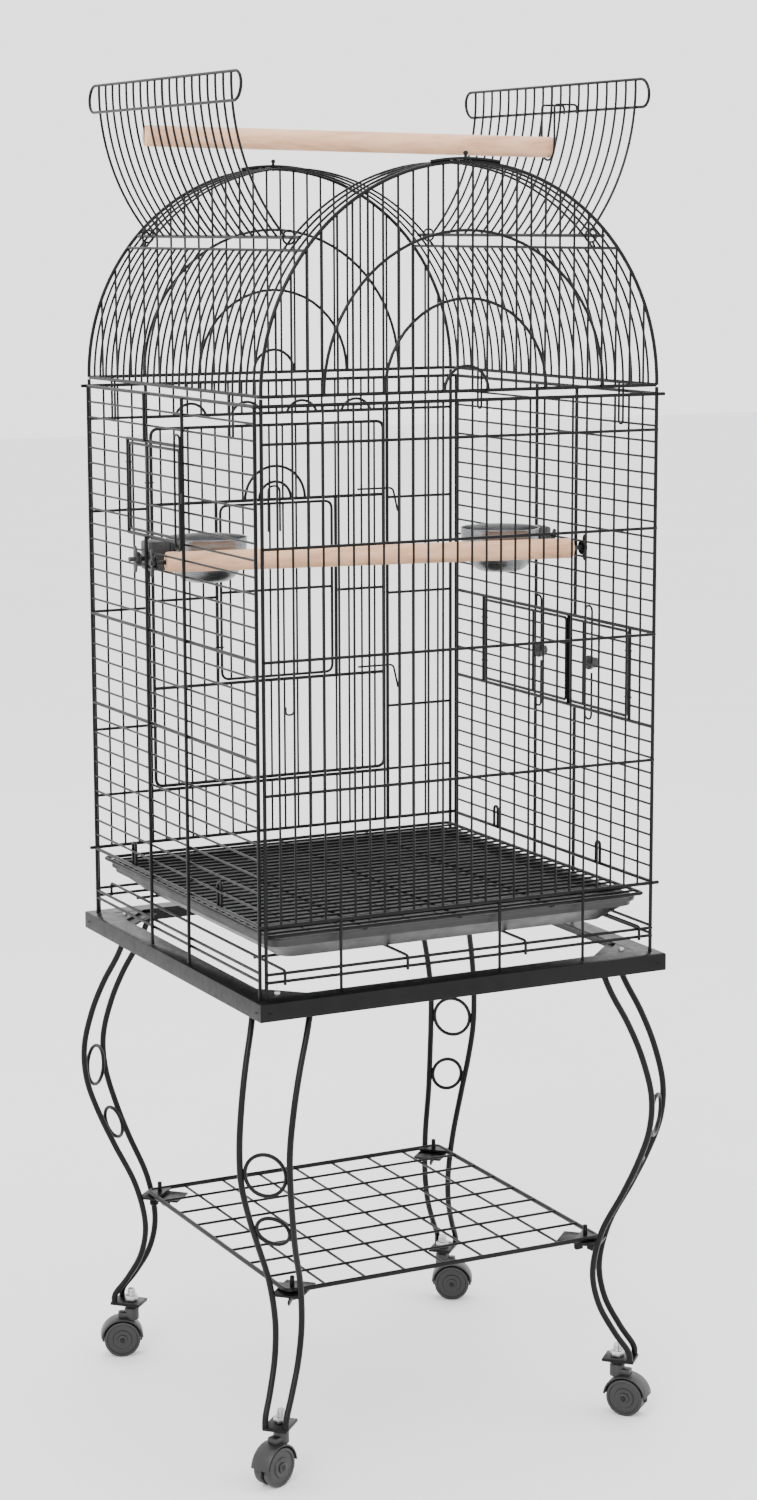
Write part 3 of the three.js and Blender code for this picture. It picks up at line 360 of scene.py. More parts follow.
def studio():
    mesh = bpy.data.meshes.new("floor")
    mesh.from_pydata([(-14, -14, 0), (14, -14, 0), (14, 14, 0), (-14, 14, 0)], [], [[0, 1, 2, 3]])
    floor = bpy.data.objects.new("floor", mesh)
    m, nodes, links, shader = new_material("pale_floor", (0.86, 0.86, 0.86), 0.7)
    vary(nodes, links, shader.inputs["Base Color"], noise(nodes, links, 3, 2), [(0.2, 0.85), (0.8, 0.88)])
    mesh.materials.append(m)
    bpy.context.scene.collection.objects.link(floor)
    world = bpy.data.worlds.new("studio")
    world.use_nodes = True
    world.node_tree.nodes["Background"].inputs["Color"].default_value = (1, 1, 1, 1)
    world.node_tree.nodes["Background"].inputs["Strength"].default_value = 2.3
    bpy.context.scene.world = world
    light("key", (-2.4, -2.2, 3.2), 1.6, 90)
    light("fill", (2.8, -1.8, 2.2), 2.6, 34)
    light("top", (0.2, 0.6, 3.6), 2.4, 36)


camera()
studio()


# ------------------------------------------------------------------ cage body
RAILS = (200, 328, 435, 533)  # surface rails of the end panels, above the stand
SILL_RAILS = (18, 26)
OVERHANG = 9  # of the end panels' rails beyond the corners
ROWS, LOW_RAIL, HIGH_RAIL, LEFT_LOW, LEFT_HIGH = 31, 10, 16, 22, 28  # side wires, counted up
DOOR_LEFT, DOOR_RIGHT, SILL, HEAD = wire_x(4), wire_x(22), STAND + 128, STAND + 533
INNER_LEFT, INNER_RIGHT, INNER_SILL, INNER_HEAD = wire_x(9), wire_x(18), STAND + 240, STAND + 439


def uprights(s, y, z0, z1, first, last):
    for i in range(first, last + 1):
        s.wire((wire_x(i), y, z0), (wire_x(i), y, z1))


def end_panel(s, y):
    for z in (BOTTOM, TOP):
        s.wire((-HALF - OVERHANG, y, z), (HALF + OVERHANG, y, z), THICK)
    for x in (-HALF, HALF):
        s.wire((x, y, STAND + GAP), (x, y, DOME - 2.05), THICK)


def back_panel():
    s, y = Shape(), -HALF
    end_panel(s, y)
    uprights(s, y, BOTTOM, TOP, 1, LAST_WIRE - 1)
    for i in (5, 16, 22):
        s.wire((wire_x(i), y, STAND + GAP), (wire_x(i), y, BOTTOM), RAIL)
    for z in (*RAILS, *SILL_RAILS):
        s.wire((-HALF, y - SURF, STAND + z), (HALF, y - SURF, STAND + z), RAIL)
    steel("back_panel_wires", s, "cage", "back_panel")


def door_panel():
    s, y = Shape(), HALF
    out = y + SURF
    end_panel(s, y)
    for x in (DOOR_LEFT, DOOR_RIGHT):
        s.wire((x, y, BOTTOM), (x, y, TOP), THICK)
    for z in (SILL, HEAD):
        s.wire((DOOR_LEFT, y, z), (DOOR_RIGHT, y, z), THICK)
    uprights(s, y, BOTTOM, TOP, 1, 3)
    uprights(s, y, BOTTOM, TOP, 23, LAST_WIRE - 1)
    uprights(s, y, BOTTOM, SILL, 5, 21)
    uprights(s, y, HEAD, TOP, 5, 21)
    for z in (SILL, HEAD, *(STAND + r for r in RAILS[:3])):
        s.wire((-HALF, out, z), (DOOR_LEFT, out, z), RAIL)
        s.wire((DOOR_RIGHT, out, z), (HALF, out, z), RAIL)
    for z in SILL_RAILS:
        s.wire((-HALF, out, STAND + z), (HALF, out, STAND + z), RAIL)
    for x in (-99, -33, 33, 99):
        s.tube(arc(19, 0.32, math.pi - 0.32, (x, out, HEAD - 6.5), 20), RAIL)
    for z in (SILL + 70, HEAD - 70):
        s.tube(oval((DOOR_LEFT + 2.45, y, z), 5.1, 3.2), 1.3, closed=True)
    steel("door_panel_wires", s, "cage", "door_panel")


def oval(centre, rx, ry, level=True, n=14):
    """A hinge clip round two wires."""
    x, y, z = centre
    ring = [(math.cos(2 * math.pi * k / n), math.sin(2 * math.pi * k / n)) for k in range(n)]
    return [(x + rx * c, y + ry * v, z) if level else (x + ry * v, y + rx * c, z) for c, v in ring]


def tongue(x, y, z, height):
    """A narrow wire loop standing up or hanging down, along the cage."""
    return bend([(x, y - 4, z), (x, y - 4, z + height), (x, y + 4, z + height), (x, y + 4, z)], 4)


def side_panel(name, side, openings, posts, clips):
    """Level wires between corner posts; openings are (y0, y1, low row, high row), clips (y, low, high)."""
    s, x = Shape(), side * SIDE_X
    outer = x + side * POST_SURF
    thick_rows = (0, LOW_RAIL, HIGH_RAIL, ROWS)
    for y in (-CORNER_Y, CORNER_Y):
        s.wire((x, y, STAND + GAP), (x, y, TOP), THICK)
    for i in range(ROWS + 1):
        ends = [-CORNER_Y]
        for y0, y1, low, high in openings:
            if low < i < high:
                ends += [y0, y1]
        ends.append(CORNER_Y)
        for a, b in zip(ends[::2], ends[1::2]):
            if a < b:
                s.wire((x, a, row_z(i)), (x, b, row_z(i)), THICK if i in thick_rows else THIN)
    for y0, y1, low, high in openings:
        for y in (y0, y1):
            s.wire((x, y, row_z(low)), (x, y, row_z(high)), THICK)
        for row in (low, high):
            if row not in thick_rows:
                s.wire((x, y0, row_z(row)), (x, y1, row_z(row)), THICK)
    for y in (-110, 110):
        s.tube(tongue(x - side * POST_SURF, y, BOTTOM, 24), RAIL)
    for y in posts:
        z = STAND + GAP
        for y0, y1, low, high in openings:
            if y0 - THICK < y < y1 + THICK:
                s.wire((outer, y, z), (outer, y, row_z(low)), THICK)
                z = row_z(high)
        s.wire((outer, y, z), (outer, y, TOP), THICK)
    for z in SILL_RAILS:
        s.wire((x, -CORNER_Y, STAND + z), (x, CORNER_Y, STAND + z), RAIL)
    for y, low, high in clips:
        for z in (row_z(low) + 24, row_z(high) - 24):
            s.tube(oval((x, y, z), 5.0, 3.0, level=False), 1.2, closed=True)
    steel(name + "_wires", s, "cage", name)


def feeder_door(name, side, opening, bar):
    s, x = Shape(), side * SIDE_X
    y0, y1 = opening[0] + HINGE_ROOM, opening[1] - HINGE_ROOM
    z0, z1 = row_z(opening[2]) + 4.25, row_z(opening[3]) - 4.25
    s.tube(bend([(x, y0, z0), (x, y1, z0), (x, y1, z1), (x, y0, z1)], 4, closed=True), RAIL, closed=True)
    s.wire((x, bar, z0), (x, bar, z1), RAIL)
    for i in range(opening[2] + 1, opening[3]):
        z = row_z(i)
        s.wire((x, y0, z), (x, y1, z))
    steel(name + "_wires", s, name, name)


def hairpin(name, side, y, z0, z1):
    """A wire loop over both edges of a feeder door, with a knob on the right-hand doors."""
    s, x = Shape(), side * 226.1
    mid, w = (z0 + z1) / 2, 6.5
    path = [(y - w, mid), (y - w, z1), (y + w, z1), (y + w, z0), (y - w, z0), (y - w, mid - 10)]
    s.tube(bend([(x, *q) for q in path], 6), THIN)
    steel(name + "_wire", s, name, name)
    if side > 0:
        s = Shape()
        profile = [(0.01, -1.3), (6.6, -1.3), (7.5, -0.6), (7.5, 2.4), (5.2, 3.4), (4.6, 5), (4.6, 8.4)]
        s.turned([*profile, (3.9, 9.7), (0.01, 10)], (x, y, mid), "x", 32)
        for k in range(4):
            t = math.pi / 4 + math.pi / 2 * k
            s.block((5.6, 3.2, 3.2), (x + 5.4, y + 5.3 * math.cos(t), mid + 5.3 * math.sin(t)), 1.2)
        plastic(name + "_knob", s, name)


def frame_path(x0, x1, z0, z1, y, r):
    return bend([(x0, y, z0), (x1, y, z0), (x1, y, z1), (x0, y, z1)], r, closed=True)


def main_door():
    s, y = Shape(), HALF
    out = y + SURF
    x0, x1, z0, z1 = DOOR_LEFT + HINGE_ROOM, DOOR_RIGHT - HINGE_ROOM, SILL + 4.5, HEAD - 13
    s.tube(frame_path(x0, x1, z0, z1, y, 9), THICK, closed=True)
    for z in (INNER_SILL, INNER_HEAD):
        s.wire((x0, y, z), (x1, y, z), THICK)
    for x in (INNER_LEFT, INNER_RIGHT):
        s.wire((x, y, INNER_SILL), (x, y, INNER_HEAD), THICK)
    rail = STAND + 335
    s.wire((x0, out, rail), (INNER_LEFT, out, rail), RAIL)
    s.wire((INNER_RIGHT, out, rail), (x1, out, rail), RAIL)
    middle = (INNER_LEFT + INNER_RIGHT) / 2
    for r in (36, 19):
        s.tube(arc(r, 0, math.pi, (middle, out, INNER_HEAD), 24), RAIL)
    for i in range(5, 22):
        uprights(s, y, z0, INNER_SILL, i, i)
        uprights(s, y, INNER_HEAD, z1, i, i)
        if i < 9 or i > 18:
            uprights(s, y, INNER_SILL, INNER_HEAD, i, i)
    for z in (INNER_SILL + 40, INNER_HEAD - 40):
        s.tube(oval((INNER_LEFT + 2.45, y, z), 5.0, 3.1), 1.2, closed=True)
    steel("main_door_wires", s, "main_door", "main_door")


def inner_door():
    """The small door, its latch and bail, and the big door's slide bolts."""
    s, y = Shape(), HALF
    x0, x1 = INNER_LEFT + HINGE_ROOM, INNER_RIGHT - HINGE_ROOM
    z0, z1 = INNER_SILL + 4.5, INNER_HEAD - 4.5
    s.tube(frame_path(x0, x1, z0, z1, y, 9), RAIL, closed=True)
    uprights(s, y, z0, z1, 10, 17)
    s.wire((x0, y + 2.05, (z0 + z1) / 2), (x1, y + 2.05, (z0 + z1) / 2), RAIL)
    steel("inner_door_wires", s, "inner_door", "inner_door")
    out, x = y + SURF + 2.8, (INNER_LEFT + INNER_RIGHT) / 2
    s = Shape()
    low, top = INNER_HEAD - 36, INNER_HEAD + 14
    s.tube(bend([(x - 7, out, low), (x - 7, out, top), (x + 7, out, top), (x + 7, out, low)], 7), THIN)
    steel("inner_door_latch_wire", s, "inner_latch", "inner_door_latch")
    s, top, low = Shape(), INNER_SILL, INNER_SILL - 42
    path = [(-22, low + 4), (-22, top), (22, top), (22, low), (12, low), (12, low + 9)]
    s.tube(bend([(x + u, out, z) for u, z in path], 5), THIN)
    steel("inner_door_bail_wire", s, "inner_bail", "inner_door_bail")
    for name, z in (("upper", STAND + 445), ("lower", STAND + 246)):
        s = Shape()
        path = [(DOOR_RIGHT - 34, out, z), (DOOR_RIGHT + 10, out, z), (DOOR_RIGHT + 16, out, z - 26)]
        s.tube(bend(path, 5), THIN)
        steel(name + "_slide_bolt_wire", s, name + "_bolt", name + "_slide_bolt")


LEFT_OPENING = (-36, 102, LEFT_LOW, LEFT_HIGH)
RIGHT_SMALL, RIGHT_LARGE = (-164, -41, LOW_RAIL, HIGH_RAIL), (-41, 145, LOW_RAIL, HIGH_RAIL)
CLIP = HINGE_ROOM / 2  # hinge clips, from the edge of an opening


def cage_body():
    back_panel()
    door_panel()
    side_panel("left_panel", -1, [LEFT_OPENING], (-46, 50), [(LEFT_OPENING[1] - CLIP, *LEFT_OPENING[2:])])
    clips = [(RIGHT_SMALL[0] + CLIP, *RIGHT_SMALL[2:]), (RIGHT_LARGE[1] - CLIP, *RIGHT_LARGE[2:])]
    side_panel("right_panel", 1, [RIGHT_SMALL, RIGHT_LARGE], (-49, 34), clips)
    feeder_door("left_feeder_door", -1, LEFT_OPENING, 50)
    feeder_door("right_feeder_door_small", 1, RIGHT_SMALL, -72)
    feeder_door("right_feeder_door_large", 1, RIGHT_LARGE, 34)
    hairpin("left_feeder_latch", -1, -40, row_z(LEFT_LOW) - 6, row_z(LEFT_HIGH) + 12)
    hairpin("right_feeder_latch_small", 1, -72, row_z(LOW_RAIL) - 12, row_z(HIGH_RAIL) + 12)
    hairpin("right_feeder_latch_large", 1, 34, row_z(LOW_RAIL) - 12, row_z(HIGH_RAIL) + 12)
    main_door()
    inner_door()


# ------------------------------------------------------------------ dome and top doors
FULL_ARCS = 4  # arcs at each end that pass right over the top
LOOP = 6.4  # radius of the loops that hold the hinge bars


def gable(s, side):
    """One end of the dome: uprights, the concentric arches on them, a doubled crown and a finial."""
    y = side * HALF
    for i in range(1, LAST_WIRE):
        x = wire_x(i)
        s.wire((x, y, DOME), (x, y, DOME + math.sqrt(HALF ** 2 - x * x) - 0.5))
    for r in (152, 88, 24):
        s.tube(arc(r, 0, math.pi, (0, y + side * SURF, DOME), max(12, round(r / 4))), RAIL)
    s.tube(arc(HALF + 3.2, 1.4, math.pi - 1.4, (0, y, DOME), 10), 3.2)
    s.wire((0, y, DOME + HALF - 2), (0, y, DOME + HALF + 10), RAIL)
    cap = [(0.3, 0), (2.2, 0.4), (2.5, 2), (1.6, 3.6), (0.3, 4)]
    s.turned(cap, (0, y, DOME + HALF + 6.5), sides=12)


def vault_side(s, side, rail_z):
    """Rail of the top opening, loops for the hinge bar, and tongues that hold the dome on the body."""
    s.wire((side * VAULT_X, -HALF, rail_z), (side * VAULT_X, HALF, rail_z), RAIL)
    bar = Vector((side * HINGE_X, 0, DOME + HINGE_Z))
    toward = (Vector((side * VAULT_X, 0, rail_z)) - bar).normalized() * LOOP
    for y in (-172, 172):
        centre = (bar.x, y, bar.z)
        s.tube(arc(LOOP, 0, 2 * math.pi, centre, 20)[:-1], 2.2, closed=True)
        s.wire((bar.x + toward.x, y, bar.z + toward.z), (side * VAULT_X, y, rail_z))
    for y in (-148.5, 148.5):
        s.tube(tongue(side * HALF, y, DOME, -42), THIN)


def dome():
    s = Shape()
    s.tube(square(HALF, DOME, 4), THICK, closed=True)
    for side in (-1, 1):
        gable(s, side)
    vault = math.acos(VAULT_X / HALF)
    for i in range(LAST_WIRE + 1):
        y = wire_x(i)
        if FULL_ARCS <= i <= LAST_WIRE - FULL_ARCS:
            s.tube(arc(HALF, 0, vault, (0, y, DOME), 16), THIN)
            s.tube(arc(HALF, math.pi - vault, math.pi, (0, y, DOME), 16), THIN)
        else:
            s.tube(arc(HALF, 0, math.pi, (0, y, DOME), 64), THICK if i in (0, LAST_WIRE) else THIN)
    for side in (-1, 1):
        vault_side(s, side, DOME + HALF * math.sin(vault))
    steel("dome_wires", s, "cage", "dome_back_end", "dome_front_end", "dome_left_wall", "dome_right_wall")


HINGE_R = math.hypot(HINGE_X, HINGE_Z)
HINGE_ANGLE = math.atan2(HINGE_Z, HINGE_X)
OPEN = math.radians(82.6)


def opened(side, x, y, z):
    """A point of a closed top door, swung open about its hinge bar."""
    x, z = x - HINGE_X, z - HINGE_Z
    u, w = x * math.cos(OPEN) + z * math.sin(OPEN), -x * math.sin(OPEN) + z * math.cos(OPEN)
    return (side * (HINGE_X + u), side * y, DOME + HINGE_Z + w)


DOOR_REACH = math.radians(43)
GRIP_WIDTH, GRIP_HALF, BAR_HALF = 27, 188.5, 196


def polar(radius, angle):
    return Vector((radius * math.cos(angle), radius * math.sin(angle)))


def top_door(name, side):
    """Arched wires between a hinge bar and a grip loop."""
    s = Shape()
    tip = HINGE_ANGLE + DOOR_REACH
    for i in range(19):
        y = (i - 9) * 18.3
        size = 2.6 if i in (0, 9, 18) else THIN
        s.tube([opened(side, *q) for q in arc(HINGE_R, HINGE_ANGLE, tip, (0, y, 0), 16)], size)
    s.wire(opened(side, HINGE_X, -BAR_HALF, HINGE_Z), opened(side, HINGE_X, BAR_HALF, HINGE_Z), THICK)
    inner = tip - math.sqrt(GRIP_WIDTH ** 2 - SURF ** 2) / HINGE_R
    start = polar(HINGE_R, tip)
    along = (polar(HINGE_R + SURF, inner) - start).normalized()
    half = GRIP_WIDTH / 2
    loop = []
    for centre, first in ((GRIP_HALF - half, 0), (half - GRIP_HALF, math.pi)):
        for k in range(13):
            w = first + math.pi * k / 12
            p = start + along * (half + half * math.cos(w))
            loop.append(opened(side, p.x, centre + half * math.sin(w), p.y))
    s.tube(loop, RAIL, closed=True)
    steel(name + "_wires", s, name, name)


# ------------------------------------------------------------------ perches
PLAY_FROM, PLAY_TO, PLAY_Z, PLAY_RISE = (-216.0, 55.0), (204.5, -27.5), 1312.0, 10.0
INNER_FROM, INNER_TO = (-214.0, 21.0), (214.0, -57.0)


def perch_hook():
    """A wire cradle under the play perch, hung from the right top door."""
    s, x, y = Shape(), PLAY_TO[0] - 5, PLAY_TO[1] + 1
    reach, top, over = 12.8, DOME + HINGE_Z + 132, HINGE_X + 61
    for at in (y - reach, y + reach):
        path = [(x, at, PLAY_Z - 0.5), (x, at, top), (over, at, top), (over, at, top - 9)]
        s.tube(bend(path, 4), THIN)
    half_turn = [math.pi + math.pi * k / 14 for k in range(15)]
    s.tube([(x, y + reach * math.cos(w), PLAY_Z + reach * math.sin(w)) for w in half_turn], THIN)
    steel("perch_hook_wire", s, "right_top_door", "perch_hook")


def dowel(name, a, b, z, body, node, rise=0.0, slot_at=None):
    """A turned wooden rod with rounded-over ends, slotted at one end if asked."""
    turn = math.atan2(b[1] - a[1], b[0] - a[0])
    half = math.hypot(b[0] - a[0], b[1] - a[1]) / 2
    s = Shape()
    middle = Matrix.Translation(((a[0] + b[0]) / 2, (a[1] + b[1]) / 2, z + rise / 2))
    tilt = Matrix.Rotation(math.atan2(rise, 2 * half), 4, "Y")
    s.turn = middle @ Matrix.Rotation(turn, 4, "Z") @ tilt
    ends = [(0.01, 0), (8.3, 0), (9.6, 0.5), (10.25, 1.4), (10.45, 3)]
    profile = [(r, -half + h) for r, h in ends] + [(10.45, -half + half * k / 6) for k in range(1, 12)]
    profile += [(r, half - h) for r, h in reversed(ends)]
    s.turned(profile, axis="x", sides=40)
    wood = beech("beech_play" if slot_at else "beech_inner", turn)
    rod = make(name, s, body, wood, [node], 35)
    if slot_at:
        tool = Shape()
        tool.block((30, 5, 31.5), (slot_at[0], slot_at[1], z + rise), 0.3)
        cutter = bpy.data.objects.new("cutter", bpy.data.meshes.new("cutter"))
        cutter.data.from_pydata([v * 0.001 for v in tool.verts], [], tool.faces)
        bpy.context.scene.collection.objects.link(cutter)
        mod = rod.modifiers.new("slot", "BOOLEAN")
        mod.operation, mod.solver, mod.object = "DIFFERENCE", "EXACT", cutter
        bpy.context.view_layer.update()
        done = bpy.data.meshes.new_from_object(rod.evaluated_get(bpy.context.evaluated_depsgraph_get()))
        rod.modifiers.clear()
        rod.data = done
        bpy.data.objects.remove(cutter)


def ellipse(rx, ry, n=12):
    """Offsets round an ellipse."""
    return [(rx * math.cos(2 * math.pi * k / n), ry * math.sin(2 * math.pi * k / n)) for k in range(n)]


WALL_FACE = 225.1  # outside of the posts, where nuts bear
BOLT = 2.5  # radius


def wing_nut(s, side, y, z):
    """A wing nut on a bolt end outside the cage wall."""
    x = side * WALL_FACE
    washer = [(2.9, 0), (7.3, 0), (7.5, 0.3), (7.5, 1.0), (7.2, 1.3), (2.9, 1.3)]
    boss = [(2.9, 1.2), (5, 1.2), (5, 3.4), (4.4, 5), (2.9, 5)]
    for profile in (washer, boss):
        s.turned([(r, side * h) for r, h in profile], (x, y, z), "x", 28)
    for sgn in (-1, 1):
        loops = []
        for t, w, d in ((0, 3.4, 1.5), (3, 3.6, 1.3), (7, 4.1, 1.2), (9.6, 3.3, 1.1), (10.6, 1.6, 0.9)):
            out, h = x + side * (3.2 + 0.12 * t), z + sgn * (3.2 + t)
            ring = [(out + u, y + v, h) for u, v in ellipse(d, w)]
            loops.append(ring if sgn > 0 else ring[::-1])
        s.loft(loops)


def inner_perch():
    dowel("inner_perch_rod", INNER_FROM, INNER_TO, BOLT_Z, "cage", "inner_perch")
    for name, side, y in (("left_perch_nut", -1, INNER_FROM[1]), ("right_perch_nut", 1, INNER_TO[1])):
        s = Shape()
        wing_nut(s, side, y, BOLT_Z)
        profile = [(0.01, 12), (BOLT, 12), *thread(BOLT, 0.25, 12, -0.6, 20)]
        profile += [(BOLT, -1), (BOLT, -9), (0.01, -9)]
        s.turned([(r, side * h) for r, h in profile], (side * 219, y, BOLT_Z), "x", 20)
        make(name + "_and_bolt", s, "cage", BLACK_ZINC, [name])


# ------------------------------------------------------------------ bowls
RIM = 919.0


def bowl(name, side, x, y):
    """A spun cup with a rolled lip, and the tab that drops into its clamp."""
    s = Shape()
    wall = [(0.02, 0), (18, 0), (22.5, 0.9), (27, 3.4), (32, 8.6)]
    wall += [(36, 15), (39, 22.5), (40.8, 31), (41.4, 40), (41.5, 44.6)]
    lip = [(42.0, 45.4), (41.5, 46), (40.6, 45.7), (40.4, 44.6)]
    inside = [(r - 0.9, h + 0.6) for r, h in reversed(wall[1:-1])]
    s.turned([*wall, *lip, *inside, (0.02, 1.0)], (x, y, RIM - 46), sides=64)
    make(name + "_cup", s, name, STAINLESS, [name], 50)
    s = Shape()
    s.block((2.6, 18, 22), (x + side * 42, y, RIM - 14), 0.8)
    make(name + "_tab", s, name, STAINLESS)


def bowl_clamp(name, side, x, y):
    s = Shape()
    inner, outer = x + side * 45, side * 218.4
    s.block((abs(outer - inner), 26, 30), ((inner + outer) / 2, y, RIM - 16), 2.4)
    near = inner - side * 1.7
    for sgn in (-1, 1):
        s.block((4.2, 3, 30), (near, y + sgn * 10.9, RIM - 16), 0.9)
    s.block((4.2, 24, 3), (near, y, RIM - 26.8), 0.9)
    profile = [(0.01, 12), (BOLT, 12), *thread(BOLT, 0.25, 12, -0.6, 20), (BOLT, -6), (0.01, -6)]
    s.turned([(r, side * h) for r, h in profile], (side * 224.4, y, BOLT_Z), "x", 18)
    plastic(name + "_clamp_body", s, "cage", name + "_clamp")
    s = Shape()
    wing_nut(s, side, y, BOLT_Z)
    plastic(name + "_knob", s, "cage", name + "_nut")


def bowls():
    slope = (INNER_TO[1] - INNER_FROM[1]) / (INNER_TO[0] - INNER_FROM[0])
    room = 53.5 * math.hypot(1, slope)
    for name, side, x in (("left_bowl", -1, -150.0), ("right_bowl", 1, 163.0)):
        y = INNER_FROM[1] + slope * (x - INNER_FROM[0]) + room
        bowl(name, side, x, y)
        bowl_clamp(name, side, x, y)


# ------------------------------------------------------------------ tray, grate, rack
def tray():
    s = Shape()
    outside = [(180, 15, 531.1), (182.6, 15, 531.7), (184.2, 15, 533.5), (201.5, 16, 547.4)]
    rim = [(205.2, 16, 548.2), (205.5, 16, 552.8), (208.6, 17, 553.2), (208.9, 17, 555.6)]
    inside = [(208.3, 17, 557.1), (200.2, 14, 557.1), (199.5, 14, 556.3), (199.0, 14, 548.4)]
    inside += [(182.4, 13, 535.3), (180.4, 13, 533.7)]
    s.loft([rounded(h, h, r, z, 8) for h, r, z in (*outside, *rim, *inside)])
    for k in range(-4, 5):
        s.block((3, 320, 1.2), (k * 38, 0, 534.0), 0.5)
    plastic("tray_pan", s, "tray", "tray")


def grate():
    """The grate over the tray, and the rack wires under it."""
    s, half, z = Shape(), 210.45, 560.7
    s.tube(square(half, z, 5), THICK, closed=True)
    for i in range(1, 28):
        y = -half + 2 * half * i / 28
        s.wire((-half, y, z), (half, y, z))
    for x in (-half / 2, 0, half / 2):
        s.wire((x, -half, z - 2.0), (x, half, z - 2.0))
    steel("grate_wires", s, "grate", "grate")
    s, z, end, reach = Shape(), STAND + 29.3, 222.1, 199
    for y in (-150, 150):
        s.wire((-reach, y, z - 2.55), (reach, y, z - 2.55), RAIL)
    for k in range(4):
        x = -reach + 2 * reach * k / 3
        s.tube(bend([(x, -end, z - 14), (x, -end, z), (x, end, z), (x, end, z - 14)], 3.4), 3.0)
    steel("tray_rack_wires", s, "cage", "tray_rack")


# ------------------------------------------------------------------ stand
CORNERS = {"near": (-1, -1), "right": (1, -1), "left": (-1, 1), "far": (1, 1)}
FRAME_HALF = 228
LEG_TOP = 497.2
LEG_BOLT, SHELF_BOLT, FOOT = math.sqrt(2) * FRAME_HALF - 47, 240, 276  # measured from the stand's axis
SHELF_Z, SHELF_HALF, SHELF_CELL = 190.0, 180.0, 45


def gusset(s, sx, sy, corner, leg_length, z0, z1):
    """A three-cornered plate let into a corner."""
    near = corner - leg_length
    tri = [(sx * corner, sy * corner), (sx * near, sy * corner), (sx * corner, sy * near)]
    if sx * sy > 0:
        tri = tri[::-1]
    s.loft([[Vector((*q, z)) for q in tri] for z in (z1, z0)])


def base_frame():
    """Folded angle ring with corner gussets."""
    s = Shape()
    profile = [(204.3, 497.5), (224.6, 497.5), (225.5, 496.4), (225.5, 482.3), (225.8, 482), (227.7, 482)]
    profile += [(FRAME_HALF, 482.3), (FRAME_HALF, 498.2), (227.5, 499.4), (226.3, 500)]
    profile += [(204.3, 500), (204, 499.7), (204, 497.8)]
    turns = ((1, 1), (-1, 1), (-1, -1), (1, -1))
    s.loft([[Vector((r * a, r * b, z)) for a, b in turns] for r, z in profile], closed=True)
    for sx, sy in CORNERS.values():
        gusset(s, sx, sy, 226.7, 80, 497.7, 499.8)
        for a, b in ((sx * 218, sy * 226.75), (sx * 226.75, sy * 218)):
            s.turned([(0.01, 0.9), (2.2, 0.7), (3.1, 0)], (a, b, 490), "z", 10)
    steel("base_frame_angle", s, "cage", "base_frame")


# Line of a leg: distance from the stand's axis, height and half the spacing of its two rods
LEG_LINE = [
    (258, LEG_TOP - 1.5, 30), (272, 462, 29), (290, 430, 28), (305, 395, 27), (315, 355, 26),
    (313, 318, 25.5), (301, 282, 23), (284, 245, 19.5), (262, 202, 16.5), (252, 158, 14),
    (258, 122, 12.5), (275, 92, 11.5), (290, 72, 11), (292, 60, 11)]


def line_at(height):
    k = next(i for i, q in enumerate(LEG_LINE) if q[1] <= height)
    a, b = LEG_LINE[k - 1], LEG_LINE[k]
    t = (a[1] - height) / (a[1] - b[1])
    return a[0] + t * (b[0] - a[0]), a[2] + t * (b[2] - a[2]), (a[0] - b[0]) / (a[1] - b[1])


def leg_bolt(s):
    """A hexagon head under the leg's top plate with a washer, its shank pointing up."""
    at, head, r = (LEG_BOLT, 0, LEG_TOP - 4.2), 3.6, 5.2
    hexagon = [(0.01, -head), (r * 0.8, -head), (r * 0.93, -head + 0.6), (r * 0.93, 0), (0.01, 0)]
    s.turned(hexagon, at, "z", 6)
    s.turned([(0.01, 0), (r + 1.6, 0), (r + 1.6, 1), (0.01, 1)], at, "z", 24)
    s.turned([(0.01, 1), (2.8, 1), (2.8, 8.4), (2.2, 9.2), (0.01, 9.2)], at, "z", 16)


def leg_ring(s, height):
    """A ring between the two rods, tilted with them."""
    reach, half, slope = line_at(height)
    r, tilt = half - 3.25 - 2 + 0.8, math.atan(slope)
    ring = [(reach + v * math.sin(tilt), c, height + v * math.cos(tilt)) for c, v in ellipse(r, r, 32)]
    s.tube(ring, 4, closed=True)


def wing_bolt(s):
    """A wing bolt from below the leg's bracket up through the shelf's corner."""
    under = SHELF_Z - 2 * 2.5 - 2 * GAP
    at = (SHELF_BOLT, 0, under)
    s.turned([(0.01, 0), (BOLT, 0), *thread(BOLT, 0.22, 6, 0.6, 19), (0.01, 18)], at, "z", 16)
    s.turned([(0.01, -4.9), (4.2, -4.9), (5, -3.6), (5, 0.1), (0.01, 0.1)], at, "z", 24)
    for sgn in (-1, 1):
        loops = []
        for t, w, d in ((0, 2.8, 1.4), (4, 3.8, 1.25), (7.6, 4.4, 1.1), (9.6, 2.6, 1.0)):
            x, z = SHELF_BOLT + sgn * (2.2 + t), under - 6.2 - 0.12 * t
            loops.append([(x, u, z + v) for u, v in ellipse(d, w)][::sgn])
        s.loft(loops)


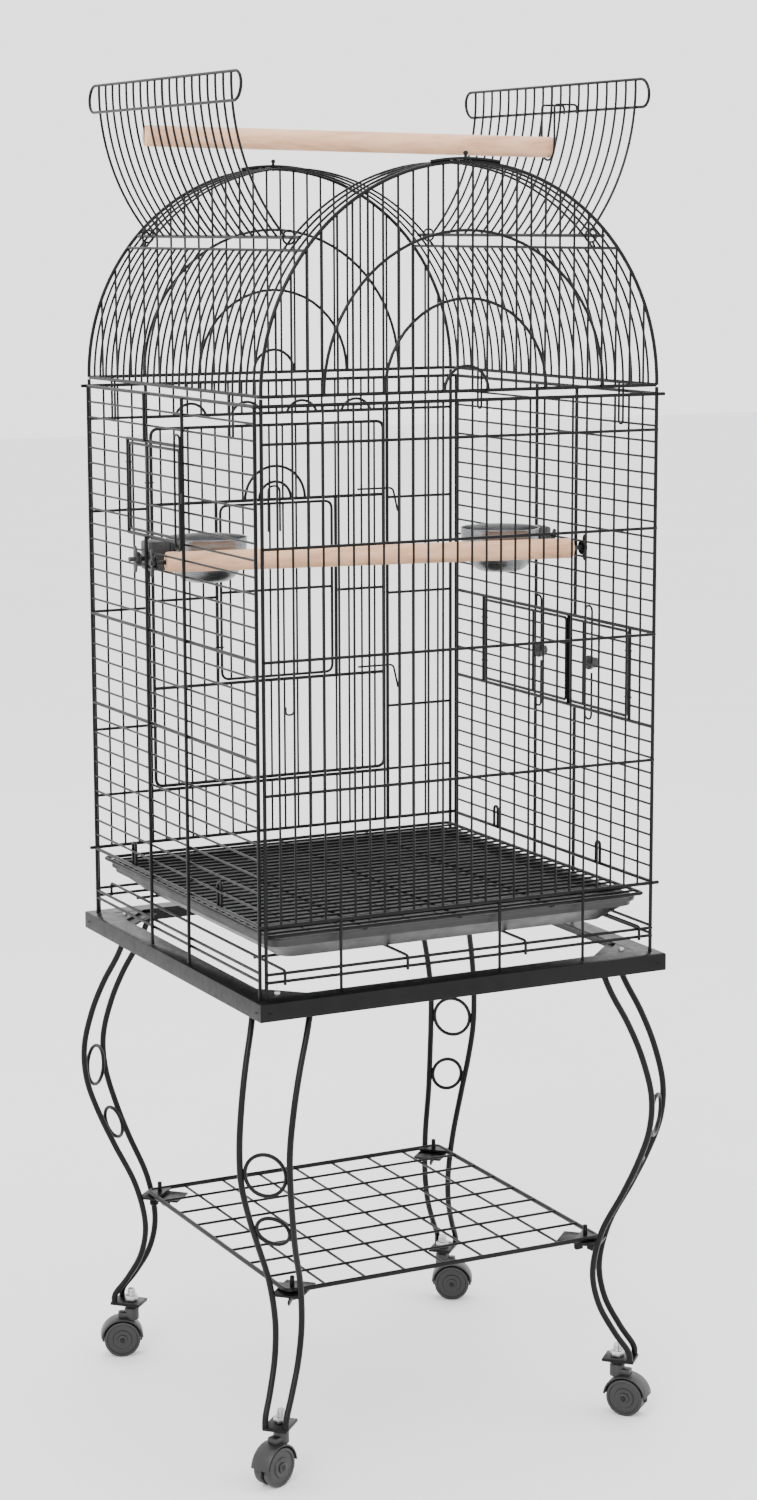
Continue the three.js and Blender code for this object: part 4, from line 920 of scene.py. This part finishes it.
def leg(name, sx, sy):
    """A leg with its bolt, wing bolt and foot nut, all drawn standing out along +X and turned."""
    def shape():
        s = Shape()
        s.turn = Matrix.Rotation(math.atan2(sy, sx), 4, "Z")
        return s

    s = shape()
    for sgn in (-1, 1):
        s.tube(spline([(r, sgn * w, z) for r, z, w in LEG_LINE], 6), 6.5, sides=12)
    for height in (328, 265):
        leg_ring(s, height)
    s.block((31, 67, 3), (LEG_BOLT - 8, 0, LEG_TOP - 1.5), 0.7)
    reach, half, _ = line_at(SHELF_Z)
    s.block((46, 2 * half, 2.5), (reach - 23, 0, SHELF_Z - 1.25 - GAP - 2.5), 0.6)
    s.block((34, 26, 3.5), (FOOT + 3, 0, 60), 0.9)
    steel(name + "_leg_rods", s, "cage", name + "_leg")
    s = shape()
    leg_bolt(s)
    make(name + "_leg_bolt", s, "cage", ZINC)
    s = shape()
    wing_bolt(s)
    steel(name + "_wing_bolt", s, "cage", name + "_shelf_wing_bolt")
    s = shape()
    nut = [(4.8, 0), (7.2, 0), (7.7, 0.7), (7.7, 5.3), (7.2, 6), (4.8, 6)]
    s.turned(nut, (FOOT, 0, 62.05), "z", 6, closed=True)
    make(name + "_foot_nut", s, "cage", ZINC)


def shelf():
    s, half, z = Shape(), SHELF_HALF, SHELF_Z
    s.tube(square(half, z, 8), 5, closed=True, sides=10)
    for i in range(1, 8):
        at = -half + SHELF_CELL * i
        s.wire((at, -half, z - 1.4), (at, half, z - 1.4), 2.8)
        s.wire((-half, at, z + 1.4), (half, at, z + 1.4), 2.8)
    for sx, sy in CORNERS.values():
        gusset(s, sx, sy, half, 30, z - 1.2, z + 1.2)
    steel("shelf_wires", s, "cage", "shelf")


# ------------------------------------------------------------------ casters
YAW = {"near": 205, "right": 310, "left": 160, "far": 330}
WHEEL, TRAIL = 20, 11.0  # wheel radius, and axle behind the stem


def axle_cap(side):
    """Profile of the cap on an axle's end."""
    cap = [(0.01, 12.6), (3.6, 12.6), (5.3, 12.0), (5.5, 11.3), (0.01, 11.3)]
    return [(r, side * h) for r, h in cap][::side]


def hood(s):
    """Curved shell over both wheels, a web between them, the axle and the boss for the stem."""
    half, r = 11.1, WHEEL + 3.5
    low = math.asin(2 / r)
    edge = [(r - 2, half - 0.4), (r - 1.6, half), (r - 0.7, half), (r, half - 1.1)]
    section = [(q, -h) for q, h in edge[:1]] + edge + [(q, -h) for q, h in edge[:0:-1]]
    loops = []
    for k in range(29):
        w = low + (math.pi - 2 * low) * k / 28
        loops.append([Vector((TRAIL + q * math.cos(w), h, WHEEL + q * math.sin(w))) for q, h in section])
    s.loft(loops)
    angles = [math.radians(-12 + 204 * k / 24) for k in range(25)]
    web = [Vector((TRAIL + 22.4 * math.cos(w), -1.5, WHEEL + 22.4 * math.sin(w))) for w in angles]
    s.loft([web, [q + Vector((0, 3, 0)) for q in web]])
    axle = [(0.01, -12.6), (3.2, -12.6), (3.5, -12.2), (3.5, 12.2), (3.2, 12.6), (0.01, 12.6)]
    for profile in (axle, axle_cap(-1), axle_cap(1)):
        s.turned(profile, (TRAIL, 0, WHEEL), "y", 24)
    s.turned([(0.01, 41), (8, 41), (8, 52.6), (7.2, 53.8), (6.0, 55.2), (0.01, 55.2)], sides=32)
    s.block((18, 12, 8), (6, 0, 45.5), 2.2)


def caster(name, sx, sy):
    foot = FOOT / math.sqrt(2)
    turn = Matrix.Translation((sx * foot, sy * foot, 0)) @ Matrix.Rotation(math.radians(YAW[name]), 4, "Z")

    def shape():
        s = Shape()
        s.turn = turn
        return s

    s = shape()
    hood(s)
    plastic(name + "_caster_hood", s, name + "_caster", name + "_caster", smooth=35)
    s = shape()
    s.turned([(0.01, 55), (4.4, 55), *thread(4.5, 0.3, 64, 0.75, 14), (3.6, 75.5), (0.01, 75.5)], sides=24)
    make(name + "_caster_stem", s, name + "_caster", ZINC)
    tread = [(3.9, 4.5), (10, 4.5), (10.6, 3.4), (16.2, 3.4), (16.9, 4.5), (18.4, 4.5), (19.5, 4.0)]
    tread.append((WHEEL, 2.9))
    profile = [(q, -h) for q, h in tread] + tread[::-1]
    for side, letter in ((-1, "a"), (1, "b")):
        s = shape()
        s.turned([(q, side * 6.3 + h) for q, h in profile], (TRAIL, 0, WHEEL), "y", 56, closed=True)
        plastic(f"{name}_wheel_{letter}_tread", s, name + "_wheels", f"{name}_wheel_{letter}", smooth=35)


cage_body()
dome()
top_door("left_top_door", -1)
top_door("right_top_door", 1)
perch_hook()
dowel("play_perch_rod", PLAY_FROM, PLAY_TO, PLAY_Z, "play_perch", "play_perch", PLAY_RISE, PLAY_FROM)
inner_perch()
bowls()
tray()
grate()
base_frame()
shelf()
for corner, (sx, sy) in CORNERS.items():
    leg(corner, sx, sy)
    caster(corner, sx, sy)
